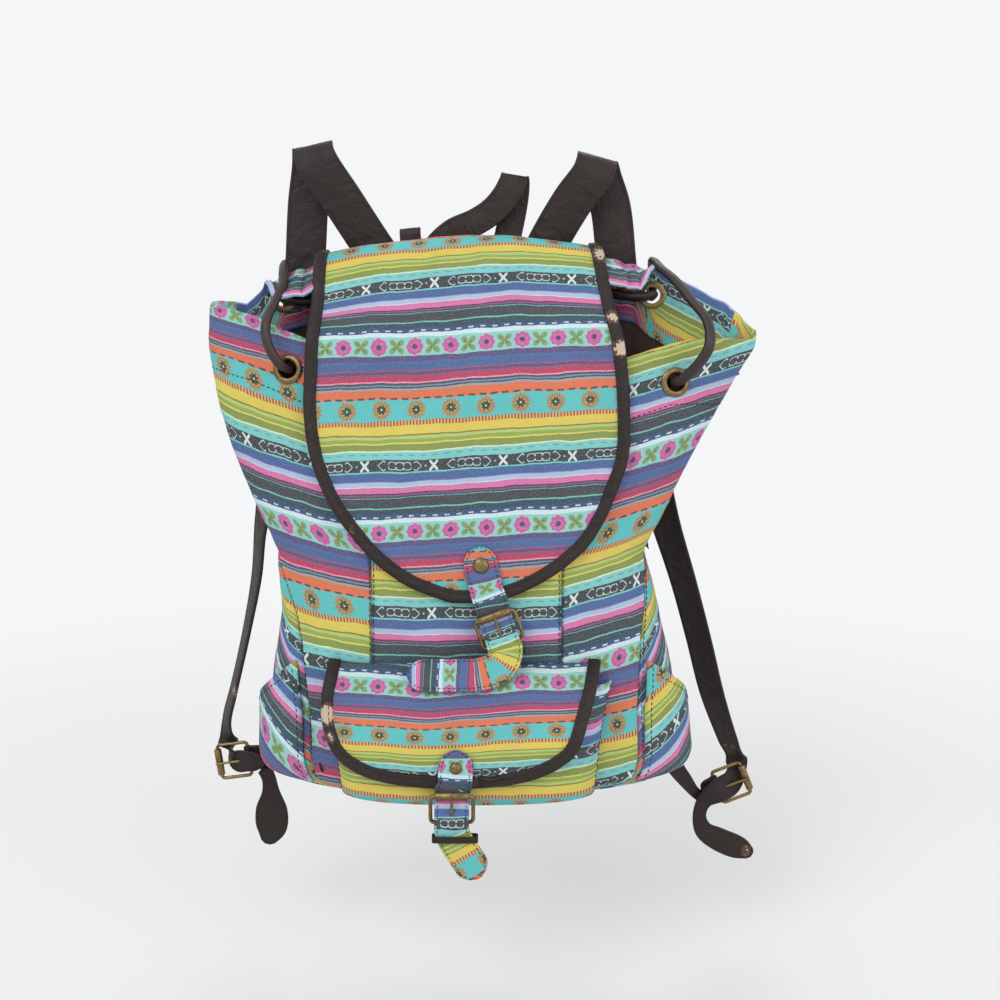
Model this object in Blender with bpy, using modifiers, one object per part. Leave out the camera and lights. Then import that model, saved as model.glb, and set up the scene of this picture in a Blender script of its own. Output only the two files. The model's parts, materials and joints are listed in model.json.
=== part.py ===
"""Canvas drawstring backpack, hanging by its two shoulder straps, mouth loosely open under the flap.

Frame: metres, +Z up, +X is to the right in a front view, the bag's front faces -Y. The origin is on
the line that the shoulder straps hang from, halfway between their two loops. Sizes below are in millimetres.
"""

import math

import bmesh
import bpy
import numpy as np
from mathutils import Vector

MM = 0.001

# Cloth and leather
PANEL_T = 1.6
LINING_T = 1.0
LINING_INSET = 4.0
FLAP_T = 2.0
FLAP_CLEAR = 2.7
STRAP_T = 2.6
STRAP_W = 33.0
STRAP_STEP = 8.0
ADJUST_W = 24.0
CLOSURE_W = 26.0
CLOSURE_T = 2.4
BINDING_W = 10.0
BINDING_WALL = 1.0
BINDING_SLOT = 0.7
EDGE_SLOT = 1.1

# Body sections from the mouth down: height, left edge, right edge, back, front, and two roundness powers
SECTIONS = np.array([
    (-60, -198, 236, -8, -48, 5.5, 2.0),
    (-110, -204, 232, -8, -55, 4.5, 2.0),
    (-150, -206, 222, -7, -66, 3.4, 2.0),
    (-200, -198, 195, -6, -78, 2.6, 2.0),
    (-250, -182, 169, -5, -88, 2.3, 2.0),
    (-310, -153, 138, -4, -98, 2.3, 2.1),
    (-360, -152, 154, -3, -103, 2.5, 2.3),
    (-420, -161, 167, -1, -108, 2.8, 2.6),
    (-470, -167, 175, 0, -110, 3.0, 2.8),
    (-510, -166, 174, 0, -108, 3.0, 2.8),
], float)
FRONT_RIM = np.array([(-205, -118), (-170, -127), (-126, -145), (0, -168), (122, -159), (170, -145), (228, -146)], float)
BACK_RIM = np.array([(-205, -116), (-182, -119), (-150, -94), (-110, -84), (-10, -70), (100, -79), (150, -92),
                     (200, -119), (228, -144)], float)
BOTTOM_Z = -503.0
BOTTOM_RISE = 12.0
BOTTOM_HALF_WIDTH = 172.0
BOTTOM_R = 16.0
BASE_GAP = 2.2
FACING_H = 52.0
FACING_LAP = 4.5

# Rows of the walls: shares of the height from the lower edge to the facing, then shares of the facing
WALL_ROWS = (0, 0.008, 0.022, 0.05, 0.16, 0.28, 0.4, 0.52, 0.64, 0.76, 0.88, 1)
FACING_ROWS = (0, 0.5, 1)

# Seams: the front seams are at these X, the back seams too, and the side seams lie at an arc length from the
# side fold, counted towards the front
FRONT_SEAMS = (-76.0, 72.0)
BACK_SEAMS = (-130.0, 124.0)
SIDE_SEAM = np.array([(-60, -22), (-250, -22), (-290, -10), (-330, 18), (-378, 42), (-430, 60), (-510, 76)], float)
SEAM_GAP = 0.6

# Main flap: its outline in front view (height, left, right) and its profile over the mouth (height under the
# crest, depth)
FLAP_OUTLINE = np.array([(-60, -117, 99), (-100, -117, 105), (-131, -119, 112), (-162, -121, 117), (-200, -122, 119),
                         (-233, -117, 118), (-263, -106, 108), (-279, -95, 101), (-299, -79, 88), (-317, -61, 68),
                         (-333, -32, 37), (-340, -9, 14)], float)
FLAP_CREST = np.array([(-124, -79), (-61, -68), (-16, -64), (40, -64), (100, -72)], float)
FLAP_PROFILE = np.array([(-32, 0), (-16, 0), (-4, -5), (0, -11), (-1, -21), (-8, -35), (-24, -49), (-48, -61)], float)
FLAP_LOW = (-140.0, -168.0, -200.0, -233.0, -254.0, -270.0, -284.0, -298.0, -310.0, -321.0, -330.0, -336.0, -340.0)
FLAP_OFF = np.array([(-130, 9), (-175, 6.5), (-260, 4.6), (-345, 4.4)], float)

# Front pocket and its flap
POCKET_TOP = -404.0
POCKET_EDGES = np.array([(-395, -111, 113), (-440, -105, 103), (-500, -99, 97)], float)
POCKET_DEPTH = 30.0
POCKET_MOUTH = 0.55
POCKET_FOOT = 4.0
POCKET_FLAP = np.array([(-389, -104, 97), (-412, -107, 90), (-430, -106, 84), (-445, -100, 79), (-454, -93, 70),
                        (-461, -82, 58), (-467, -67, 44), (-471, -42, 22), (-473, -18, 2)], float)

# Side pockets: height of the top edge at the front seam, at the side fold and at the back seam
SIDE_POCKET_TOP = (-392.0, -442.0, -452.0)
SIDE_POCKET_BULGE = 6.0
SIDE_POCKET_FOOT = 8.0

# Eyelets: X, height, and which wall they are set in
EYELETS = {
    "eyelet_front_left": (-140.0, -166.0, -1),
    "eyelet_front_right": (160.0, -176.0, -1),
    "eyelet_back_left": (-150.0, -113.0, 1),
    "eyelet_back_right": (147.0, -110.0, 1),
}
EYELET_R, EYELET_HOLE_R, EYELET_BARREL_R = 11.5, 6.6, 7.6

# Buckles: wire radius, roller radii, prong radius
WIRE_R = 1.5
ROLLER_IN, ROLLER_OUT = 1.85, 3.1
PRONG_R = 1.1
CHAPE_T = 1.6
BAR_PLAY = 0.45
RIVET_GAP = 0.9
HOOK_R = WIRE_R + 0.35 + PRONG_R
MAIN_BUCKLE = 22.0
POCKET_BUCKLE = 20.0
SIDE_BUCKLE = 26.0
MAIN_TURN = math.radians(20)
BUCKLE_LEAN = 0.06
KEEPER_H, KEEPER_WALL = 5.0, 1.3
CORD_R = 4.0

LEATHER = ("brown_leather", (0.026, 0.015, 0.012), 0.5, 0.0)
BRASS = ("antique_brass", (0.30, 0.19, 0.08), 0.38, 1.0)
LINING = ("brown_lining", (0.035, 0.018, 0.014), 0.85, 0.0)
CANVAS_BLUE = ("canvas_blue", (0.065, 0.15, 0.35), 0.85, 0.0)
CANVAS_TEAL = ("canvas_turquoise", (0.10, 0.55, 0.55), 0.85, 0.0)
CANVAS_GREEN = ("canvas_green", (0.34, 0.48, 0.10), 0.85, 0.0)
CANVAS_PINK = ("canvas_pink", (0.65, 0.14, 0.35), 0.85, 0.0)
CANVAS_YELLOW = ("canvas_yellow", (0.78, 0.58, 0.09), 0.85, 0.0)


def clear_scene():
    for obj in list(bpy.data.objects):
        bpy.data.objects.remove(obj, do_unlink=True)


def new_collection(name):
    made = bpy.data.collections.new(name)
    bpy.context.scene.collection.children.link(made)
    return made


def material(spec):
    name, colour, roughness, metallic = spec
    found = bpy.data.materials.get(name)
    if found:
        return found
    made = bpy.data.materials.new(name)
    made.use_nodes = True
    shader = made.node_tree.nodes["Principled BSDF"]
    shader.inputs["Base Color"].default_value = (*colour, 1)
    shader.inputs["Roughness"].default_value = roughness
    shader.inputs["Metallic"].default_value = metallic
    return made


def add_mesh(name, points, faces, spec, collection=None):
    """A mesh object from points in millimetres."""
    mesh = bpy.data.meshes.new(name)
    mesh.from_pydata([tuple(c * MM for c in p) for p in points], [], faces)
    mesh.update()
    obj = bpy.data.objects.new(name, mesh)
    (collection or BAG).objects.link(obj)
    mesh.materials.append(material(spec))
    mesh.shade_smooth()
    return obj


def grid_faces(rows, columns, closed=False):
    """Quads of a grid whose points are stored row by row."""
    span = columns if closed else columns - 1
    return [
        (r * columns + c, r * columns + (c + 1) % columns, (r + 1) * columns + (c + 1) % columns, (r + 1) * columns + c)
        for r in range(rows - 1)
        for c in range(span)
    ]


def sheet(name, grid, thickness, spec, offset=-1.0, collection=None):
    """An open surface, one list of points a row, given its wall by Solidify."""
    points = [p for row in grid for p in row]
    obj = add_mesh(name, points, grid_faces(len(grid), len(grid[0])), spec, collection)
    wall = obj.modifiers.new("Wall", "SOLIDIFY")
    wall.thickness = thickness * MM
    wall.offset = offset
    wall.use_even_offset = True
    return obj


def loft(name, sections, spec, collection=None):
    """A closed solid through sections that all have the same number of points."""
    count = len(sections[0])
    faces = grid_faces(len(sections), count, closed=True)
    faces.append(tuple(reversed(range(count))))
    faces.append(tuple((len(sections) - 1) * count + i for i in range(count)))
    return face_out(add_mesh(name, [p for s in sections for p in s], faces, spec, collection))


def closed_sheet(name, points, faces, spec, wall=None):
    """A surface that runs all the way round, given its wall inwards."""
    obj = add_mesh(name, points, faces, spec)
    solid = obj.modifiers.new("Wall", "SOLIDIFY")
    solid.thickness = (wall or LINING_T) * MM
    solid.offset = -1
    solid.use_even_offset = True
    return obj


def face_out(obj):
    """Turns every face of a closed mesh outwards."""
    work = bmesh.new()
    work.from_mesh(obj.data)
    bmesh.ops.recalc_face_normals(work, faces=work.faces)
    work.to_mesh(obj.data)
    work.free()
    return obj


def mixed(a, b, start, end, t):
    return (a * (end - t) + b * (t - start)) / (end - start)


def smooth_route(points, step):
    """Rows of numbers along a centripetal Catmull-Rom curve, about a step apart; columns 0 to 2 are the place."""
    p = np.array(points, float)
    p = np.vstack([2 * p[0] - p[1], p, 2 * p[-1] - p[-2]])
    fine = []
    for i in range(1, len(p) - 2):
        spans = [max(np.linalg.norm(p[j + 1, :3] - p[j, :3]), 0.01) ** 0.5 for j in range(i - 1, i + 2)]
        k0, k1, k2, k3 = np.cumsum([0] + spans)
        for t in np.linspace(k1, k2, 24, endpoint=False):
            a1 = mixed(p[i - 1], p[i], k0, k1, t)
            a2 = mixed(p[i], p[i + 1], k1, k2, t)
            a3 = mixed(p[i + 1], p[i + 2], k2, k3, t)
            b1 = mixed(a1, a2, k0, k2, t)
            b2 = mixed(a2, a3, k1, k3, t)
            fine.append(mixed(b1, b2, k1, k2, t))
    fine.append(p[-2])
    fine = np.array(fine)
    lengths = np.concatenate([[0], np.cumsum(np.linalg.norm(np.diff(fine[:, :3], axis=0), axis=1))])
    even = np.linspace(0, lengths[-1], max(2, int(round(lengths[-1] / step)) + 1))
    return np.stack([np.interp(even, lengths, fine[:, i]) for i in range(fine.shape[1])], axis=1)


def unit(v):
    v = np.array(v, float)
    return v / np.linalg.norm(v)


def strap(name, stations, thickness, spec, step=4.0):
    """A flat strip: each station is its middle, the direction of its width, its width and perhaps its thickness."""
    rows = smooth_route(stations, step)
    middles = rows[:, :3]
    tangents = np.gradient(middles, axis=0)
    sections = []
    for middle, tangent, row in zip(middles, tangents, rows):
        across = row[3:6] - np.dot(row[3:6], unit(tangent)) * unit(tangent)
        across = unit(across) * row[6] / 2
        normal = unit(np.cross(tangent, across)) * (row[7] if len(row) > 7 else thickness) / 2
        sections.append([middle - across - normal, middle + across - normal, middle + across + normal,
                         middle - across + normal])
    return loft(name, sections, spec)


def turned(name, profile, centre, axis, spec, steps=16):
    """A profile (radius, height) turned about an axis through centre, as a Screw modifier makes it."""
    mesh = bpy.data.meshes.new(name)
    points = [(r * MM, 0, h * MM) for r, h in profile]
    ring = profile[0][0] > 0
    edges = [(i, i + 1) for i in range(len(points) - 1)]
    if ring:
        edges.append((len(points) - 1, 0))
    mesh.from_pydata(points, edges, [])
    obj = bpy.data.objects.new(name, mesh)
    BAG.objects.link(obj)
    mesh.materials.append(material(spec))
    obj.location = Vector(centre) * MM
    obj.rotation_mode = "QUATERNION"
    obj.rotation_quaternion = Vector(axis).to_track_quat("Z", "Y")
    screw = obj.modifiers.new("Turn", "SCREW")
    screw.axis = "Z"
    screw.steps = steps
    screw.render_steps = steps
    screw.use_merge_vertices = True
    screw.merge_threshold = 0.00001
    screw.use_smooth_shade = True
    return obj


def tube(name, points, radius, spec, cyclic=False, origin=(0, 0, 0)):
    """A round wire or cord through the points. A moving wire has its origin on the axis that it turns about."""
    curve = bpy.data.curves.new(name, "CURVE")
    curve.dimensions = "3D"
    curve.bevel_depth = radius * MM
    curve.bevel_resolution = 2
    curve.use_fill_caps = not cyclic
    spline = curve.splines.new("POLY")
    spline.points.add(len(points) - 1)
    for slot, p in zip(spline.points, points):
        slot.co = (*((np.array(p) - origin) * MM), 1)
    spline.use_cyclic_u = cyclic
    curve.materials.append(material(spec))
    obj = bpy.data.objects.new(name, curve)
    obj.location = Vector(origin) * MM
    BAG.objects.link(obj)
    return obj


class Section:
    """The body's outline at one height, as points with their arc length, from the right fold round the back."""

    def __init__(self, z, inset=0.0):
        left, right, back, front, m, k = (np.interp(-z, -SECTIONS[:, 0], SECTIONS[:, i]) for i in range(1, 7))
        a = (right - left) / 2 - inset
        b = (back - front) / 2 - inset
        t = np.linspace(0, 2 * np.pi, 721)
        c, s = np.cos(t), np.sin(t)
        self.x = (left + right) / 2 + a * np.sign(c) * np.abs(c) ** (2 / m)
        self.y = (back + front) / 2 + b * np.sign(s) * np.abs(s) ** (2 / k)
        self.arc = np.concatenate([[0], np.cumsum(np.hypot(np.diff(self.x), np.diff(self.y)))])

    def at(self, arc):
        arc = arc % self.arc[-1]
        return np.interp(arc, self.arc, self.x), np.interp(arc, self.arc, self.y)

    def arc_at_x(self, x, side):
        """Arc length where the back (side 1) or front (side -1) wall passes this X."""
        if side > 0:
            return np.interp(-x, -self.x[:361], self.arc[:361])
        return np.interp(x, self.x[360:], self.arc[360:])


def seam_arcs(z, inset=0.0):
    """Arc lengths of the six seams, in order from the right back seam round the back and the front."""
    section = Section(z, inset)
    side = np.interp(-z, -SIDE_SEAM[:, 0], SIDE_SEAM[:, 1])
    return section, {
        "back_right": section.arc_at_x(BACK_SEAMS[1], 1),
        "back_left": section.arc_at_x(BACK_SEAMS[0], 1),
        "side_left": section.arc[360] + side,
        "front_left": section.arc_at_x(FRONT_SEAMS[0], -1),
        "front_right": section.arc_at_x(FRONT_SEAMS[1], -1),
        "side_right": section.arc[-1] - side,
        "back_right_again": section.arc[-1] + section.arc_at_x(BACK_SEAMS[1], 1),
    }


def bottom_z(x):
    return BOTTOM_Z + BOTTOM_RISE * min(1.0, (x / BOTTOM_HALF_WIDTH) ** 2)


def rim_z(x, y, middle):
    """Height of the mouth's edge over a point of the wall."""
    table = BACK_RIM if y > middle else FRONT_RIM
    return float(np.interp(x, table[:, 0], table[:, 1]))


def wall_inset(rise):
    """How far the wall stands in from the section, at a height over the bottom: the lower edge is rounded."""
    return BOTTOM_R - math.sqrt(BOTTOM_R ** 2 - max(BOTTOM_R - rise, 0.0) ** 2)


def wall_point(first, last, share, z, rise, trim=SEAM_GAP, out=0.0):
    """The wall at a share of the way between two seams, at one height."""
    section, arcs = seam_arcs(z, wall_inset(rise) - out)
    start, end = arcs[first] + trim, arcs[last] - trim
    return section.at(start + (end - start) * share)


def wall_grid(first, last, columns):
    """Points of the wall between two seams, from the lower edge to the rim."""
    mouth = Section(-150)
    split = (mouth.y.max() + mouth.y.min()) / 2
    grid = []
    for share in np.linspace(0, 1, columns):
        x, y = wall_point(first, last, share, -150, BOTTOM_R)
        top = rim_z(x, y, split)
        foot = bottom_z(wall_point(first, last, share, -480, BOTTOM_R)[0])
        under = top - FACING_H
        levels = [foot + r * (under - foot) for r in WALL_ROWS] + [under + r * FACING_H for r in FACING_ROWS[1:]]
        grid.append([(*wall_point(first, last, share, z, min(z - foot, BOTTOM_R)), z) for z in levels])
    return [list(row) for row in zip(*grid)]


def front_y(x, z):
    """Depth of the body's front wall."""
    section = Section(z)
    return float(section.at(section.arc_at_x(x, -1))[1])


def back_y(x, z):
    section = Section(z)
    return float(section.at(section.arc_at_x(x, 1))[1])


WALLS = (
    ("back_panel", "back_right", "back_left", 11, CANVAS_BLUE),
    ("left_gusset", "back_left", "side_left", 8, CANVAS_GREEN),
    ("front_left_panel", "side_left", "front_left", 10, CANVAS_BLUE),
    ("front_panel", "front_left", "front_right", 9, CANVAS_TEAL),
    ("front_right_panel", "front_right", "side_right", 10, CANVAS_BLUE),
    ("right_gusset", "side_right", "back_right_again", 8, CANVAS_GREEN),
)


def body_panels():
    """The canvas panels, split at the sewn seams. Returns the whole wall as rows that run round the body."""
    rows = [[] for _ in range(len(WALL_ROWS) + len(FACING_ROWS) - 1)]
    for name, first, last, columns, spec in WALLS:
        grid = wall_grid(first, last, columns)
        sheet(name, grid, PANEL_T, spec)
        for row, part in zip(rows, grid):
            row += part[:-1]
    return np.array(rows)


def inside_of(rows):
    """The wall moved inwards to where the lining lies."""
    across = np.roll(rows, -1, axis=1) - np.roll(rows, 1, axis=1)
    up = np.gradient(rows, axis=0)
    normal = np.cross(across, up)
    return rows - LINING_INSET * normal / np.linalg.norm(normal, axis=2, keepdims=True)


def shrink_ring(ring, share):
    middle = np.mean(np.array(ring)[:, :2], axis=0)
    out = []
    for x, y, z in ring:
        px = middle[0] + (x - middle[0]) * share
        py = middle[1] + (y - middle[1]) * share
        out.append((px, py, z - bottom_z(x) + bottom_z(px)))
    return out


def base_panel():
    """The bottom, a flat piece between the rounded lower edges of the walls."""
    count = 32
    outer = []
    section = Section(BOTTOM_Z, BOTTOM_R + BASE_GAP)
    for i in range(count):
        x, y = section.at(section.arc[-1] * i / count)
        outer.append((x, y, bottom_z(x)))
    middle = np.mean(np.array(outer)[:, :2], axis=0)
    rings = [outer] + [shrink_ring(outer, share) for share in (0.6, 0.3)]
    points = [p for ring in rings for p in ring] + [(middle[0], middle[1], bottom_z(middle[0]))]
    faces = grid_faces(3, count, closed=True)
    faces += [(2 * count + i, 2 * count + (i + 1) % count, 3 * count) for i in range(count)]
    faces = [tuple(reversed(f)) for f in faces]
    closed_sheet("base_panel", points, faces, CANVAS_BLUE, PANEL_T)


def lining(walls):
    """The brown cloth bag inside, up to the striped facing, and the facing that runs round the mouth."""
    inner = inside_of(walls)
    coarse = inner[:len(WALL_ROWS), 1::2]
    count = coarse.shape[1]
    floor = [shrink_ring(coarse[0], s) for s in (0.3, 0.6)]
    rings = floor + [list(row) for row in coarse]
    middle = np.mean(np.array(rings[0])[:, :2], axis=0)
    lift = coarse[0][0][2] - bottom_z(coarse[0][0][0])
    points = [p for r in rings for p in r] + [(middle[0], middle[1], bottom_z(middle[0]) + lift)]
    faces = grid_faces(len(rings), count, closed=True)
    last = len(points) - 1
    faces += [((i + 1) % count, i, last) for i in range(count)]
    closed_sheet("lining", points, faces, LINING)

    strips = inner[len(WALL_ROWS) - 1:].copy()
    strips[0] += (strips[1] - strips[0]) * 2 * FACING_LAP / FACING_H
    points = [p for r in strips for p in r]
    return closed_sheet("mouth_facing", points, grid_faces(len(strips), strips.shape[1], closed=True), CANVAS_PINK)


def wall_normal(x, z, side):
    """Outward normal of the front or back wall."""
    depth = front_y if side < 0 else back_y
    step = 2.0
    along_x = np.array([2 * step, depth(x + step, z) - depth(x - step, z), 0])
    along_z = np.array([0, depth(x, z + step) - depth(x, z - step), 2 * step])
    normal = unit(np.cross(along_x, along_z))
    return normal if normal[1] * side > 0 else -normal


def eyelet_place(name):
    x, z, side = EYELETS[name]
    y = front_y(x, z) if side < 0 else back_y(x, z)
    return np.array([x, y, z]), wall_normal(x, z, side)


def eyelets(facing):
    """Two-part brass eyelets: a rolled collar outside, a barrel through both cloths, a washer inside."""
    front, back = 1.5, -6.3
    collar = [
        (EYELET_HOLE_R, front - 0.4), (EYELET_HOLE_R + 0.9, front + 0.3), (EYELET_R - 1.4, front),
        (EYELET_R, front - 0.8), (EYELET_BARREL_R, front - 0.9), (EYELET_BARREL_R, back + 0.9),
        (EYELET_R - 0.6, back + 0.7), (EYELET_R - 0.8, back), (EYELET_HOLE_R, back),
    ]
    hosts = {
        "eyelet_front_left": "front_left_panel",
        "eyelet_front_right": "front_right_panel",
        "eyelet_back_left": "left_gusset",
        "eyelet_back_right": "right_gusset",
    }
    for name, host in hosts.items():
        centre, normal = eyelet_place(name)
        turned(name, collar, centre, normal, BRASS, steps=14)
        ends = [centre + normal * 12, centre - normal * 12]
        ring = round_section(normal, EYELET_BARREL_R + 0.5, 20)
        tool = loft("hole_" + name, [[end + p for p in ring] for end in reversed(ends)], BRASS, CUTTERS)
        hide_cutter(tool)
        for target in (bpy.data.objects[host], facing):
            cut_with(target, tool)


def round_section(axis, radius, count):
    first = unit(np.cross(axis, (0, 0, 1) if abs(axis[2]) < 0.9 else (1, 0, 0)))
    second = unit(np.cross(axis, first))
    return [radius * (math.cos(a) * first + math.sin(a) * second)
            for a in np.linspace(0, 2 * math.pi, count, endpoint=False)]


def hide_cutter(tool):
    tool.hide_render = True
    tool.display_type = "WIRE"


def cut_with(target, tool):
    cut = target.modifiers.new("Cut " + tool.name, "BOOLEAN")
    cut.operation = "DIFFERENCE"
    cut.solver = "EXACT"
    cut.object = tool


def flap_point(x, row):
    """The main flap's outer face at an X: rows from its sewn edge behind the crest to its tip."""
    crest = np.interp(x, FLAP_CREST[:, 0], FLAP_CREST[:, 1])
    if row < len(FLAP_PROFILE):
        down, y = FLAP_PROFILE[row]
        fade = 1 - max(0.0, row - 3) / (len(FLAP_PROFILE) + 2)
        level = FLAP_CREST[2, 1] + fade * (crest - FLAP_CREST[2, 1])
        z = level + down
        if row < 2:
            return np.array([x, back_y(x, z) + FLAP_T + FLAP_CLEAR, z])
        drop = 6.0 * max(0, row - 4) / 4
        return np.array([x, y + drop * (x / 115) ** 2, z])
    z = FLAP_LOW[row - len(FLAP_PROFILE)]
    off = np.interp(-z, -FLAP_OFF[:, 0], FLAP_OFF[:, 1])
    return np.array([x, front_y(x, z) - off, z])


def outline_grid(point_at, row_levels, outline, columns, edge):
    """Rows of a flap across its outline, widened by edge on both sides."""
    grid = []
    for row, level in row_levels:
        left, right = (np.interp(-level, -outline[:, 0], outline[:, i]) for i in (1, 2))
        grid.append([point_at(left - edge + (right - left + 2 * edge) * c / (columns - 1), row) for c in range(columns)])
    return grid


def grown(grid, by, above):
    """A flap's rows carried on past its edges."""
    rows = [list(row) for row in grid]
    for row in rows:
        row[0] = row[0] + unit(row[0] - row[1]) * by
        row[-1] = row[-1] + unit(row[-1] - row[-2]) * by
    rows[-1] = [p + unit(p - q) * by for p, q in zip(rows[-1], rows[-2])]
    rows[0] = [p + unit(p - q) * above for p, q in zip(rows[0], rows[1])]
    return rows


def bound_edge(name, grid, thickness):
    """A leather binding folded round three edges of a flap: down the left side, round the tip, up the right. The
    slot that the flap lies in is cut with a thicker copy of the flap."""
    path = np.array([row[0] for row in grid] + list(grid[-1][1:-1]) + [row[-1] for row in reversed(grid)])
    inner = np.array([row[1] for row in grid] + list(grid[-2][1:-1]) + [row[-2] for row in reversed(grid)])
    tangents = np.gradient(path, axis=0)
    half = thickness / 2 + BINDING_SLOT + BINDING_WALL
    lip = BINDING_SLOT + BINDING_WALL
    sections = []
    for p, q, t in zip(path, inner, tangents):
        t = unit(t)
        out = p - q
        out = unit(out - np.dot(out, t) * t)
        normal = np.cross(t, out)
        middle = p + normal * thickness / 2
        sections.append([middle + out * o + normal * n
                         for o, n in ((lip - BINDING_W, half), (lip, half), (lip, -half), (lip - BINDING_W, -half))])
    made = loft(name, sections, LEATHER)
    thick = thickness + 2 * BINDING_SLOT
    reach = 2 * (thickness + BINDING_SLOT) / thick - 1
    tool = sheet("slot_" + name, grown(grid, EDGE_SLOT, 3.0), thick, LEATHER, reach, CUTTERS)
    hide_cutter(tool)
    cut_with(made, tool)
    return made


def main_flap():
    """The flap: canvas over the mouth and down the front, with its leather binding."""
    levels = [(r, FLAP_CREST[2, 1] + FLAP_PROFILE[r][0]) for r in range(len(FLAP_PROFILE))]
    levels += [(len(FLAP_PROFILE) + i, z) for i, z in enumerate(FLAP_LOW)]
    edge = BINDING_W / 2 - BINDING_WALL - BINDING_SLOT
    grid = outline_grid(flap_point, levels, FLAP_OUTLINE, 11, edge)
    sheet("main_flap", grid, FLAP_T, CANVAS_TEAL, 1.0)
    bound_edge("main_flap_binding", grid, FLAP_T)


def pocket_depth(x, z):
    """How far the front pocket stands out from the front wall."""
    left, right = (np.interp(-z, -POCKET_EDGES[:, 0], POCKET_EDGES[:, i]) for i in (1, 2))
    across = abs((x - (left + right) / 2) / ((right - left) / 2))
    down = (POCKET_TOP - z) / (POCKET_TOP - bottom_z(x) - POCKET_FOOT)
    side = max(0.0, 1 - min(across, 1.0) ** 7) ** 0.5
    lower = max(0.0, 1 - max(0.0, (down - 0.75) / 0.25) ** 3) ** 0.5
    return POCKET_DEPTH * side * lower * (POCKET_MOUTH + (1 - POCKET_MOUTH) * min(1.0, max(down, 0.0) / 0.45))


def pocket_point(x, z, off=0.0):
    return np.array([x, front_y(x, z) - 2.4 - off - pocket_depth(x, z), z])


def front_pocket():
    """The bellows pocket on the front, sewn on three sides and open at the top."""
    spread = [math.sin(math.pi / 2 * s) for s in np.linspace(-1, 1, 17)]
    grid = []
    for share in (1, 0.985, 0.95, 0.88, 0.78, 0.65, 0.5, 0.33, 0.16, 0):
        row = []
        for s in spread:
            z = POCKET_TOP + share * (BOTTOM_Z - POCKET_TOP)
            left, right = (np.interp(-z, -POCKET_EDGES[:, 0], POCKET_EDGES[:, i]) for i in (1, 2))
            x = (left + right) / 2 + s * (right - left) / 2
            foot = bottom_z(x) + POCKET_FOOT
            row.append(tuple(pocket_point(x, POCKET_TOP + share * (foot - POCKET_TOP))))
        grid.append(row)
    return sheet("front_pocket", grid, PANEL_T, CANVAS_YELLOW)


def pocket_flap_point(x, z):
    """Outer face of the pocket flap: sewn to the front wall above the pocket, then over it."""
    over = min(1.0, max(0.0, (POCKET_FLAP[0, 0] - z) / 18.0))
    free = front_y(x, z) - FLAP_T - FLAP_CLEAR - (POCKET_DEPTH * POCKET_MOUTH + 3.0) * math.sin(over * math.pi / 2)
    if z > POCKET_TOP + 2:
        return np.array([x, free, z])
    under = min(pocket_point(x + dx, z + dz)[1] for dx in (-14, -7, 0, 7, 14) for dz in (-4, 0, 4))
    return np.array([x, min(free, under - FLAP_T - 2.4), z])


def pocket_flap():
    levels = [-389.0, -395.0, -401.0, -408.0, -417.0, -428.0, -440.0, -450.0, -458.0, -465.0, -470.0, -473.0]
    edge = BINDING_W / 2 - BINDING_WALL - BINDING_SLOT
    grid = []
    for z in levels:
        left, right = (np.interp(-z, -POCKET_FLAP[:, 0], POCKET_FLAP[:, i]) for i in (1, 2))
        left, right = left - edge, right + edge
        row = []
        for c in range(11):
            x = left + (right - left) * c / 10
            row.append(pocket_flap_point(x, z))
        grid.append(row)
    sheet("front_pocket_flap", grid, FLAP_T, CANVAS_GREEN, 1.0)
    bound_edge("front_pocket_flap_binding", grid, FLAP_T)


def side_pocket(name, first, last, forward):
    """A patch pocket over a gusset, with its top edge slanting down from the front seam."""
    columns, rows = 9, 7
    grid = []
    for r in range(rows):
        row = []
        for c in range(columns):
            share = c / (columns - 1)
            front = share if forward else 1 - share
            top = np.interp(front, (0, 0.45, 1), (SIDE_POCKET_TOP[2], SIDE_POCKET_TOP[1], SIDE_POCKET_TOP[0]))
            foot = bottom_z(wall_point(first, last, share, -480, BOTTOM_R)[0]) + SIDE_POCKET_FOOT
            z = foot + (top - foot) * r / (rows - 1)
            bulge = SIDE_POCKET_BULGE * math.sin(math.pi * share) ** 0.6 * (0.35 + 0.65 * r / (rows - 1))
            rise = min(z - foot + SIDE_POCKET_FOOT, BOTTOM_R)
            x, y = wall_point(first, last, share, z, rise, trim=2.0, out=PANEL_T + 0.9 + bulge)
            row.append((x, y, z))
        grid.append(row)
    return sheet(name, grid, PANEL_T, CANVAS_PINK)


def hook(pivot, along, normal, radius, first, last, count):
    """Points of an arc round a bar, from an angle to another, counted from along towards the front normal."""
    return [np.array(pivot) + radius * (math.cos(a) * along + math.sin(a) * normal)
            for a in np.radians(np.linspace(first, last, count))]


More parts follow.
